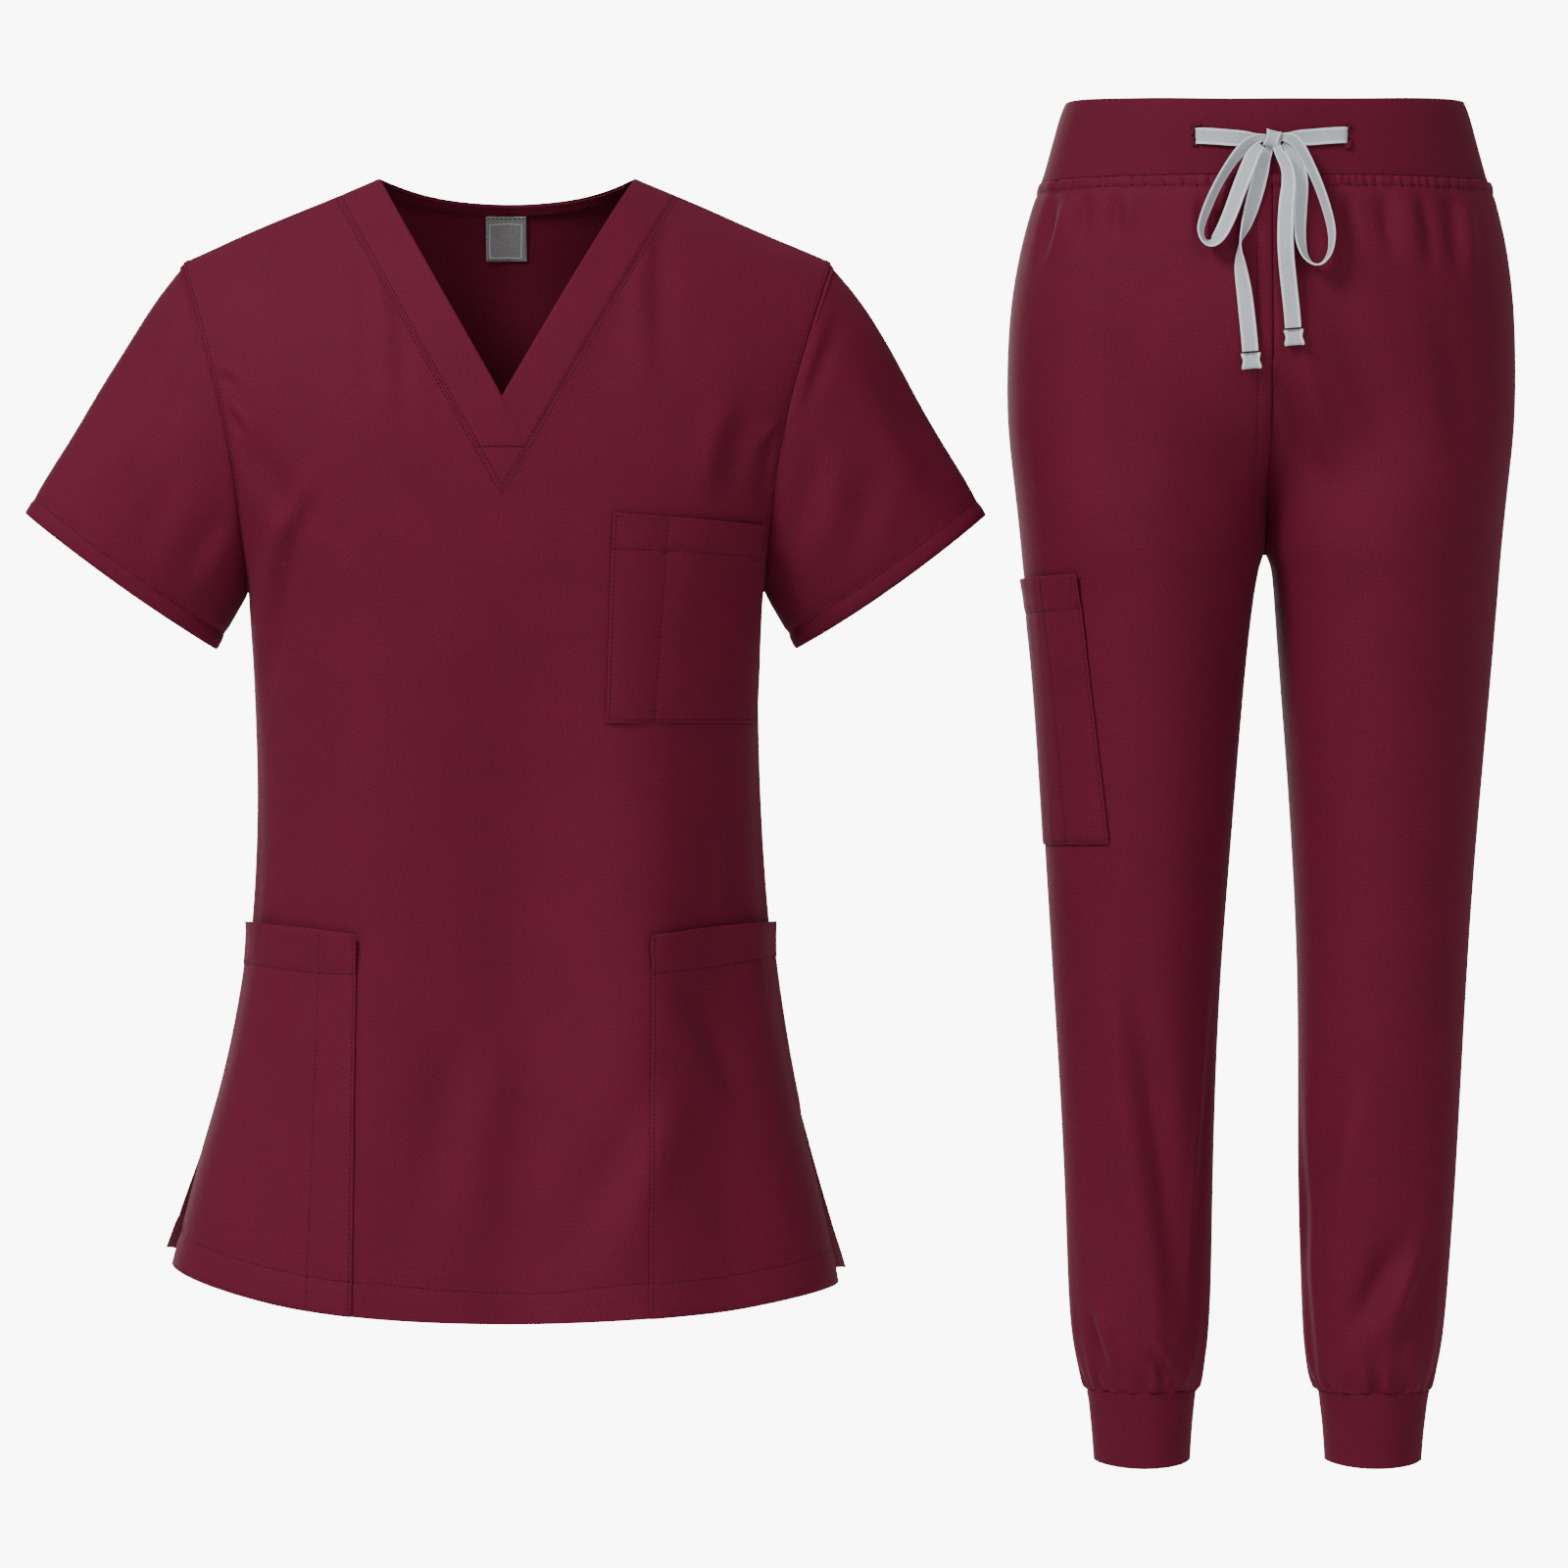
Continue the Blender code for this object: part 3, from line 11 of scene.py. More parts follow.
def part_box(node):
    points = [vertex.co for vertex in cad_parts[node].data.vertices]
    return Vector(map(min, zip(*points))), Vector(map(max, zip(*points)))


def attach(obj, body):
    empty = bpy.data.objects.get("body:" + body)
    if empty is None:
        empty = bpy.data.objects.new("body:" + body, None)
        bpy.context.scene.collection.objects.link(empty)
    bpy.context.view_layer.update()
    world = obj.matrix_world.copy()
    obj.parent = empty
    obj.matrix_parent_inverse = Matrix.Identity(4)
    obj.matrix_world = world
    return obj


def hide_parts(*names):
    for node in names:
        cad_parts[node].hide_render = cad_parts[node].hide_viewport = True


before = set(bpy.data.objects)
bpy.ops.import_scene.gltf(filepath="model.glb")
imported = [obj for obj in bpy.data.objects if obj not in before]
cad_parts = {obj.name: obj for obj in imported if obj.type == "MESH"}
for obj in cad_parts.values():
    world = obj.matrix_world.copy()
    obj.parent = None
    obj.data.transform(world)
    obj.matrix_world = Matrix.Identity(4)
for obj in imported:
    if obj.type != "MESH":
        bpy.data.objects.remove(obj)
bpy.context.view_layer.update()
bpy.ops.object.select_all(action="DESELECT")


# ------------------------ studio
# The garments hang filled out over a pale floor. A soft light stands high on the left, weak ones fill the right and the
# front, a broad one lights the backs, and a long lens looks level at the fronts.

PIXEL = 0.00064  # metres that one pixel of a 1600-pixel frame covers at the garments
FRAME_PIXELS = 1600
CAMERA_AT = (0.1808, -6.0, -0.3955)
FLOOR_DROP = -1.35
FLOOR_RADIUS = 2.8
BACKDROP_GLOW = 8.5
ROOM_GLOW = 0.38
WHITE = (1.0, 1.0, 1.0, 1.0)

lens = bpy.data.cameras.new("camera")
lens.sensor_width = 36
lens.lens = lens.sensor_width * -CAMERA_AT[1] / (PIXEL * FRAME_PIXELS)
camera = bpy.data.objects.new("camera", lens)
camera.location = CAMERA_AT
camera.rotation_euler = (math.pi / 2, 0, 0)
add = bpy.context.scene.collection.objects.link
add(camera)
bpy.context.scene.camera = camera


def softbox(name, place, aim, size, power):
    light = bpy.data.lights.new(name, "AREA")
    light.shape = "RECTANGLE"
    light.size = size[0]
    light.size_y = size[1]
    light.energy = power
    lamp = bpy.data.objects.new(name, light)
    lamp.location = place
    lamp.rotation_euler = (Vector(aim) - Vector(place)).to_track_quat("-Z", "Y").to_euler()
    add(lamp)


softbox("key", (-2.6, -2.7, 3.2), (0.15, 0, -0.35), (1.4, 1.4), 226)
softbox("fill", (1.8, -3.4, 2.0), (0.4, 0, -0.4), (2.0, 2.0), 40)
softbox("front", (0.8, -3.8, -0.9), (0.45, 0, -0.7), (1.6, 1.6), 22)
softbox("back", (-0.9, 4.6, 0.6), (0.2, 0, -0.4), (2.5, 2.5), 120)

world = bpy.data.worlds.new("studio")
world.use_nodes = True
bpy.context.scene.world = world


class Shade:
    """One output of a shader node. Arithmetic on it adds Math nodes, and node() adds any other kind."""

    def __init__(self, tree, socket=None):
        self.tree = tree
        self.socket = socket

    def node(self, kind, inputs=(), output=0, stops=(), **settings):
        made = self.tree.nodes.new(kind)
        for name, value in settings.items():
            setattr(made, name, value)
        if stops:
            ramp = made.color_ramp.elements
            ramp.remove(ramp[-1])
            ramp[0].position, ramp[0].color = stops[0]
            for place, colour in stops[1:]:
                ramp.new(place).color = colour
        for key, value in dict(inputs).items():
            if isinstance(value, Shade):
                self.tree.links.new(value.socket, made.inputs[key])
            else:
                made.inputs[key].default_value = value
        return Shade(self.tree, made.outputs[output])

    def also(self, output):
        """Another output of the same node."""
        return Shade(self.tree, self.socket.node.outputs[output])

    def math(self, operation, *values):
        return self.node("ShaderNodeMath", enumerate(values), operation=operation)

    def __add__(self, other):
        return self.math("ADD", self, other)

    __radd__ = __add__

    def __sub__(self, other):
        return self.math("SUBTRACT", self, other)

    def __rsub__(self, other):
        return self.math("SUBTRACT", other, self)

    def __mul__(self, other):
        return self.math("MULTIPLY", self, other)

    __rmul__ = __mul__

    def __gt__(self, other):
        return self.math("GREATER_THAN", self, other)

    def __abs__(self):
        return self.math("ABSOLUTE", self)

    def wave(self, length):
        """A sine of this value, from -1 to 1, that repeats over length."""
        return self.math("SINE", self * (2 * math.pi / length))

    def noise(self, scale, detail=2.0, **more):
        """Chance unevenness, from 0 to 1."""
        return self.node("ShaderNodeTexNoise", {"Scale": scale, "Detail": detail, **more})

    def ramp(self, *stops):
        """A colour that follows this value from stop to stop."""
        return self.node("ShaderNodeValToRGB", {"Fac": self}, stops=[(place, (*tint, 1)) for place, tint in stops])

    def dyed(self, colour, *stops):
        """One colour, of which each stop takes a share."""
        return self.ramp(*[(place, [share * part for part in colour]) for place, share in stops])

    def bump(self, strength, distance):
        return self.node("ShaderNodeBump", {"Strength": strength, "Distance": distance, "Height": self})

    def cut_place(self):
        """The place on the flat cut, and its parts across the grain and along it, in metres."""
        cut = self.node("ShaderNodeUVMap", uv_map="cut")
        parts = self.node("ShaderNodeSeparateXYZ", {0: cut})
        return cut, parts, parts.also(1)


studio = Shade(world.node_tree)
background = world.node_tree.nodes["Background"]
seen = studio.node("ShaderNodeLightPath", output="Is Camera Ray")
glow = seen * BACKDROP_GLOW + ROOM_GLOW
background.inputs["Color"].default_value = WHITE
world.node_tree.links.new(glow.socket, background.inputs["Strength"])


def finish(name, colour, roughness, **constants):
    """A new material, its shader and a Shade to draw nodes from."""
    material = bpy.data.materials.new(name)
    material.use_nodes = True
    shader = material.node_tree.nodes["Principled BSDF"]
    shader.inputs["Base Color"].default_value = (*colour, 1)
    shader.inputs["Roughness"].default_value = roughness
    for socket, value in constants.items():
        shader.inputs[socket.replace("_", " ")].default_value = value
    return material, shader, Shade(material.node_tree)


def feed(shader, socket, shade):
    shade.tree.links.new(shade.socket, shader.inputs[socket])


bpy.ops.mesh.primitive_circle_add(
    vertices=128, radius=FLOOR_RADIUS, fill_type="NGON", location=(CAMERA_AT[0], 0, FLOOR_DROP)
)
floor = bpy.context.object
floor.name = "floor"
floor.data.transform(floor.matrix_basis)
floor.location = (0, 0, 0)
floor.data.materials.append(finish("pale_floor", (0.8, 0.79, 0.78), 0.9)[0])


# ------------------------ drawstring
# One flat woven tape in a sewn channel: it comes out of two buttonholes, is tied in a bow in front of the centre,
# and each end is folded back on itself and stitched. The two selvedges are thicker and paler than the middle, partly as
# a painted highlight.

TROUSERS_AT = (0.4944, 0.0, 0.0455)  # centre of the waistband's top edge
TAPE_WIDTH = 0.0105
TAPE_THICK = 0.0012
KNOT_DROP = 0.0264
KNOT_HALF = 0.0056
PINCH_REACH = 0.009
SILVER = (0.5, 0.545, 0.585)
TOWARD = np.array([0.0, -1.0, 0.0])  # the way to whoever looks at the fronts


def table(columns, rows):
    """A short table, as one array for each named column. Its lengths are written in millimetres and given in metres;
    a turn or a lip is no length."""
    names = columns.split()
    values = np.array(rows.split(), float).reshape(-1, len(names)).T
    return {name: column / (1 if name in ("turn", "lip") else 1000) for name, column in zip(names, values)}


def fall(gap, reach):
    """1 where there is no gap, falling to 0 a little more than reach away."""
    return np.exp(-((gap / reach) ** 2))


# Half-widths and front depths of the trousers and of their waistband, by how far below the top edge they are.
WAIST_SEAM = 0.049
HIP_ROUND = 2.35
WAISTBAND = table("drop half front", """
     0   131   90
     6   134 91.5
    24 139.2   94
    40 143.8 96.2
    49 146.4 97.2
""")
HIPS = table("drop half front", """
     49 146.4 98.5
     72   154  103
     98 160.6  107
    149 167.7  111
    200 168.3  111
""")


def front_at(side, drop):
    """How far the trousers' front stands out at a place on it."""
    section = WAISTBAND if drop < WAIST_SEAM else HIPS
    half = np.interp(drop, section["drop"], section["half"])
    depth = np.interp(drop, section["drop"], section["front"])
    return depth * (1 - (abs(side) / half) ** HIP_ROUND) ** (1 / HIP_ROUND)


# Routes as seen from the front, from the eyelet through the knot to the end, and from the knot round each loop: how far
# aside of the middle, below the top edge and in front of the cloth, and the tape's twist in degrees.
ROUTES = {}
ROUTES["end_left"] = table("side drop out turn", """
    -48.7  24.2 -1.8   0
    -48.4  24.2  0.3   0
    -46.6  24.2  1.9   0
    -42.5  24.4  2.3   0
      -34    25  2.4   0
      -22    26  2.3   0
      -12  26.2  2.2   0
     -6.8  25.9  2.2   0
       -3  27.2    3   0
     -2.2  33.4  2.2   0
       -6    42  3.2   4
    -10.6    60  3.8  12
    -16.2    79    5  44
    -20.6    91  6.2  80
    -21.8    99  6.4 100
      -21   110  5.2 132
    -18.6   126  3.6 156
    -16.8   142  2.6 168
    -15.4   156  2.2 174
    -14.8 163.6    2 176
""")
ROUTES["loop_left"] = table("side drop out turn", """
     -7.9 26.2  5.6  4
    -15.6   30  6.4 35
      -25   40    7 55
    -34.5   55  7.4 60
      -42   71  7.4 60
    -46.3   84  7.4 66
      -45 91.6  7.6 74
    -39.6   94  8.2 62
      -34 88.5  9.4 40
      -28   76 10.2 30
    -21.6   59 10.4 26
    -15.6   44  9.4 26
      -12   36    9 20
     -7.4 30.8  8.2  4
""")
ROUTES["end_right"] = table("side drop out turn", """
    48.7  23.7 -1.8   0
    48.4  23.7  0.3   0
    46.6  23.7  1.9   0
    42.5  23.9  2.3   0
      34  24.5  2.4   0
      24  25.4  2.3   0
      13  25.6  2.2   0
     6.6  25.4  2.2   0
       3  27.2  4.6 -10
     3.2  33.2    7 -20
     8.6    44  9.6 -44
      10    55 10.2 -34
     8.4    70   10 -22
     7.6    88    9 -12
     8.2   104  7.6  -4
      10   122  5.4   0
    11.8   138  3.4   0
    12.6 148.6  2.4   0
""")
ROUTES["loop_right"] = table("side drop out turn", """
       7  25.2 7.4  -4
    14.2  28.2 8.2 -36
    20.6  37.5   8 -56
    27.6  52.5 7.6 -62
    33.6  69.5 7.4 -64
    37.4    86 7.4 -68
    36.6    99 7.4 -78
    31.6   107 7.2 -86
    25.2 107.6 6.8 -84
    19.6   101 6.2 -66
    17.2    88 5.4 -46
    17.4    72 4.6 -32
    18.2    56 4.4 -28
      16    42 4.4 -24
    11.4    33 4.4 -16
     7.1  29.2 4.6  -4
""")
# Half of the tape's section: share of the half width, share of the half thickness.
TAPE_SECTION = ((1.0, 0.0), (0.97, 0.75), (0.88, 1.0), (0.78, 0.92), (0.68, 0.62), (0.34, 0.58), (0.0, 0.57))


def spline(values, at):
    """Catmull-Rom through evenly spaced values, at places counted in steps."""
    padded = np.concatenate([[2 * values[0] - values[1]], values, [2 * values[-1] - values[-2]]])
    i = np.clip(at.astype(int), 0, len(values) - 2)
    t = at - i
    a, b, c, d = (padded[i + k] for k in range(4))
    return 0.5 * (2 * b + (c - a) * t + (2 * a - 5 * b + 4 * c - d) * t**2 + (3 * b - a - 3 * c + d) * t**3)


def unit(vectors):
    return vectors / np.maximum(np.linalg.norm(vectors, axis=-1, keepdims=True), 1e-12)


def run(line):
    """How far along a line each of its points lies."""
    return np.concatenate([[0], np.cumsum(np.linalg.norm(np.diff(line, axis=0), axis=1))])


TAPE_STEPS = 8
EASED = 7  # steps over which the tape evens out the cloth below it


def tape_frame(route):
    """The middle of the tape along a route, with the directions across it and through it."""
    last = len(route["side"]) - 1
    at = np.linspace(0, last, TAPE_STEPS * last + 1)
    side, drop, out = (spline(route[name], at) for name in ("side", "drop", "out"))
    turn = np.radians(spline(route["turn"], at))
    stand = np.array([front_at(*place) for place in zip(side, drop)])
    stand = np.convolve(np.pad(stand, EASED // 2, "edge"), np.full(EASED, 1 / EASED), "valid")
    middle = np.stack([TROUSERS_AT[0] + side, -stand - out, TROUSERS_AT[2] - drop], axis=1)
    along = unit(np.gradient(middle, axis=0))
    level = unit(np.cross(along, TOWARD))
    across = level * np.cos(turn)[:, None] + TOWARD * np.sin(turn)[:, None]
    across = unit(across - along * (across * along).sum(axis=1, keepdims=True))
    from_knot = np.hypot(side, drop - KNOT_DROP) - KNOT_HALF
    pinch = 1 - 0.5 * fall(np.maximum(from_knot, 0), PINCH_REACH)
    return middle, across, np.cross(across, along), pinch


def new_piece(name, points, faces, material, uv=None, nodes=()):
    """A mesh object of the finished piece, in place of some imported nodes. uv has each face's corners on the cut."""
    mesh = bpy.data.meshes.new(name)
    mesh.from_pydata([tuple(p) for p in points], [], faces)
    if uv is not None:
        layer = mesh.uv_layers.new(name="cut")
        layer.data.foreach_set("uv", np.asarray(uv, np.float32).ravel())
    mesh.materials.append(material)
    mesh.shade_smooth()
    mesh.set_sharp_from_angle(angle=math.radians(48))
    piece = bpy.data.objects.new(name, mesh)
    add(piece)
    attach(piece, "root")
    if nodes:
        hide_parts(*nodes)
    return piece


def tape(name, middle, across, through, pinch, nodes, ring=False):
    """The tape's section carried along its middle. A ring joins its last section to its first."""
    upper = [(a, b) for a, b in TAPE_SECTION] + [(-a, b) for a, b in TAPE_SECTION[-2::-1]]
    section = np.array(upper + [(a, -b) for a, b in upper[-2:0:-1]])
    count, corners = len(middle), len(section)
    wide = np.outer(pinch, section[:, 0]) * TAPE_WIDTH / 2
    thick = np.broadcast_to(section[:, 1], wide.shape) * TAPE_THICK / 2
    points = middle[:, None] + across[:, None] * wide[..., None] + through[:, None] * thick[..., None]
    length = run(middle)
    faces, uv = [], []
    for i in range(count if ring else count - 1):
        j = (i + 1) % count
        far = length[i] + (length[1] if ring and j == 0 else length[j] - length[i])
        for k in range(corners):
            m = (k + 1) % corners
            faces.append((i * corners + k, i * corners + m, j * corners + m, j * corners + k))
            u = section[[k, m, m, k], 0] * TAPE_WIDTH / 2
            uv += list(zip(u, (length[i], length[i], far, far)))
    if not ring:
        for first in (0, (count - 1) * corners):
            cap = tuple(first + k for k in range(corners))
            faces.append(cap if first else cap[::-1])
            uv += [(0, 0)] * corners
    return new_piece(name, points.reshape(-1, 3), faces, TAPE_FINISH, uv, nodes)


def woven_tape():
    """Pale grey tape: a fine diagonal weave between two raised selvedges, painted lighter, partly as a painted
    highlight along them.
    """
    material, shader, s = finish("woven_tape", SILVER, 0.72, Sheen_Weight=0.15, Sheen_Roughness=0.5)
    _, across, along = s.cut_place()
    edge = s.node(
        "ShaderNodeMapRange",
        {"Value": abs(across), "From Min": 0.0032, "From Max": 0.0042, "To Min": 0.0, "To Max": 1.0},
        interpolation_type="SMOOTHSTEP",
    )
    weave = (abs(across) + along).wave(0.0013) * (1 - edge) + along.wave(0.0009) * edge
    # edge lightens the selvedges: partly their own paler yarn, partly a painted highlight along the raised edges.
    tone = weave * 0.16 + s.noise(900.0) * 0.9 + s.noise(120.0) * 0.35 + edge * 0.3 - 0.25
    body = tone.ramp((0.15, (0.26, 0.29, 0.32)), (0.55, (0.66, 0.7, 0.74)), (1.0, (0.97, 0.99, 1.0)))
    feed(shader, "Base Color", body)
    feed(shader, "Normal", weave.bump(0.5, 0.0002))
    return material


TAPE_FINISH = woven_tape()
strings = {}
for part, nodes in (("end", ("string_run", "string_tail")), ("loop", ("string_loop",))):
    for side in ("left", "right"):
        line = tape_frame(ROUTES[f"{part}_{side}"])
        piece = tape(f"drawstring_{part}_{side}", *line, [f"{node}_{side}" for node in nodes])
        strings[part, side] = (piece, *line)

# The knot: the tape goes once round the two loops' roots, a little aslant.
KNOT_TILT = math.radians(14)
KNOT_STEPS = 28
KNOT_DEEP = 0.0042
KNOT_TALL = 0.005
knot_middle = np.mean(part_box("string_knot"), axis=0)
turn = 2 * math.pi * np.arange(KNOT_STEPS) / KNOT_STEPS
swell = 1 + 0.06 * np.sin(3 * turn + 0.6)
around = np.stack([0 * turn, KNOT_DEEP * np.cos(turn) * swell, KNOT_TALL * np.sin(turn) * swell], axis=1)
across = np.tile([math.cos(KNOT_TILT), 0, -math.sin(KNOT_TILT)], (KNOT_STEPS, 1))
lean = np.outer(around[:, 2], (math.sin(KNOT_TILT), 0, math.cos(KNOT_TILT))) + around * (0, 1, 0)
along = unit(np.roll(lean, -1, axis=0) - np.roll(lean, 1, axis=0))
squeeze = 0.86 - 0.1 * np.cos(2 * turn)
through = np.cross(across, along)
knot = tape("drawstring_knot", knot_middle + lean, across, through, squeeze, ["string_knot"], ring=True)

STITCH = 0.003
THREAD_WIDE = 0.0006
THREAD_HIGH = 0.00022
THREAD_DIP = 0.00012
DIP_AT = 0.08  # shares of a stitch: where an end is, and where it is thick from
THICK_FROM = 0.28


def sewn(name, stitches, material):
    """Stitches, each given by its ends and the way out of the cloth: low spindles whose ends dip into it."""
    points, faces = [], []
    for a, b, up in stitches:
        way = b - a
        side = np.cross(up, unit(way)) * THREAD_WIDE / 2
        at = len(points)
        points += [a + DIP_AT * way - up * THREAD_DIP, b - DIP_AT * way - up * THREAD_DIP]
        for share in (THICK_FROM, 1 - THICK_FROM):
            middle = a + share * way
            points += [middle + side, middle + up * THREAD_HIGH, middle - side]
        for j, k in ((0, 1), (1, 2), (2, 0)):
            faces.append((at, at + 2 + k, at + 2 + j))
            faces.append((at + 2 + j, at + 2 + k, at + 5 + k, at + 5 + j))
            faces.append((at + 1, at + 5 + j, at + 5 + k))
    return new_piece(name, points, faces, material)


def thread_finish(name, colour):
    """Spun sewing thread, uneven in tone."""
    material, shader, s = finish(name, colour, 0.6, Specular_IOR_Level=0.15)
    feed(shader, "Base Color", s.noise(2500.0).dyed(colour, (0.3, 0.6), (0.8, 1.5)))
    return material


# The ends: 10 mm of tape folded back on itself and held by a dark bar of stitches.
GREY_THREAD = thread_finish("grey_thread", (0.045, 0.048, 0.052))
TIP_STEPS = 15
FOLD_FROM = 0.42  # the share of the tape that lies before the fold, and after it
FOLD_START = 0.0006
FOLD_SHORT = 0.0018
FOLD_BULGE = 0.0008
FOLD_HALF = 0.00075
BAR_DROP = 0.0012
BAR_OUT = 0.0013
BAR_STITCHES = 6
BAR_SHARE = 0.72  # of the tape's width
BAR_ZIGZAG = 0.0004
tips = {}
for side in ("left", "right"):
    across = strings["end", side][2]
    low, high = (np.array(corner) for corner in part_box(f"string_tip_{side}"))
    wide = unit(np.array([across[-1][0], 0.0, across[-1][2]]))
    wide = wide if wide[0] > 0 else -wide
    down = np.array([0.0, 0.0, -1.0])
    down = unit(down - wide * np.dot(down, wide))
    share = np.linspace(0, 1, TIP_STEPS)
    bend = math.pi * np.clip((share - FOLD_FROM) / (1 - 2 * FOLD_FROM), 0, 1)
    reach = np.minimum(np.where(share < 0.5, share, 1 - share) / FOLD_FROM, 1)
    fold = np.outer(FOLD_START + (high[2] - low[2] - FOLD_SHORT) * reach + FOLD_BULGE * np.sin(bend), down)
    fold += np.outer(FOLD_HALF * np.cos(bend), (0, 1, 0))
    top = np.array([(low[0] + high[0]) / 2, (low[1] + high[1]) / 2, high[2]])
    through = np.cross(wide, unit(np.gradient(top + fold, axis=0)))
    flare = 1.12 + 0.1 * np.cos(2 * math.pi * reach)
    wides = np.tile(wide, (TIP_STEPS, 1))
    tip = tape(f"drawstring_tip_{side}", top + fold, wides, through, flare, [f"string_tip_{side}"])
    places = (np.arange(BAR_STITCHES + 1) / BAR_STITCHES - 0.5) * TAPE_WIDTH * BAR_SHARE
    bar = top + down * BAR_DROP + TOWARD * BAR_OUT + np.outer(places, wide)
    bar += np.outer(np.where(np.arange(BAR_STITCHES + 1) % 2, BAR_ZIGZAG, -BAR_ZIGZAG), down)
    stitches = [(a, b, TOWARD) for a, b in zip(bar[:-1], bar[1:])]
    tips[side] = [tip, sewn(f"drawstring_tack_{side}", stitches, GREY_THREAD)]

for side, on_end in (("left", tips["left"] + [knot]), ("right", tips["right"])):
    for part, far_end, on_it in (("end", "knot", on_end), ("loop", "object", ())):
        piece, centre, *_ = strings[part, side]


# ------------------------ tunic front
# The front is one cut piece of stretch poplin, hung from the shoulder seams. Its hem and the sides of its vents are
# turned in and topstitched, and a row of stitches runs beside the neckline and each armhole.

WINE = (0.11, 0.001, 0.019)
POPLIN = 0.0009
SEAM_ROLL = 0.0003
FOLD_ROLL = 0.0005
SHARP_CORNER = math.radians(140)
WALL_CORNER = math.radians(58)
SIDES = {"left": -1, "right": 1}
TUNIC_MIDDLE = (0.0, 0.0, -0.4)
BESIDE_SEAM = 0.0016
HEM_TURN = 0.022
VENT_TURN = 0.0052
HEM_RISE = 0.0005
HEM_PULL = 0.0008
HEM_REACH = 0.0026
LINE_PITCH = 0.002
CREASE_PARTS = 24
LIP_ASIDE = 1.6  # widths between a crease and its ridge
TURN_SOFT = 0.0008
VENT_PULL = 0.0002


def closest(points, place):
    """The number of the point that lies closest to a place."""
    return int(np.argmin(np.linalg.norm(points - np.array(place), axis=1)))


def read_all(items, name, width, kind=float):
    """One property of all items of a mesh, with a row for each."""
    values = np.empty(len(items) * width, kind)
    items.foreach_get(name, values)
    return values.reshape(-1, width)


def in_edit_mode(piece, operator, **settings):
    """One of the mesh operators, on all of a piece."""
    bpy.context.view_layer.objects.active = piece
    bpy.ops.object.mode_set(mode="EDIT")
    bpy.ops.mesh.select_all(action="SELECT")
    operator(**settings)
    bpy.ops.object.mode_set(mode="OBJECT")


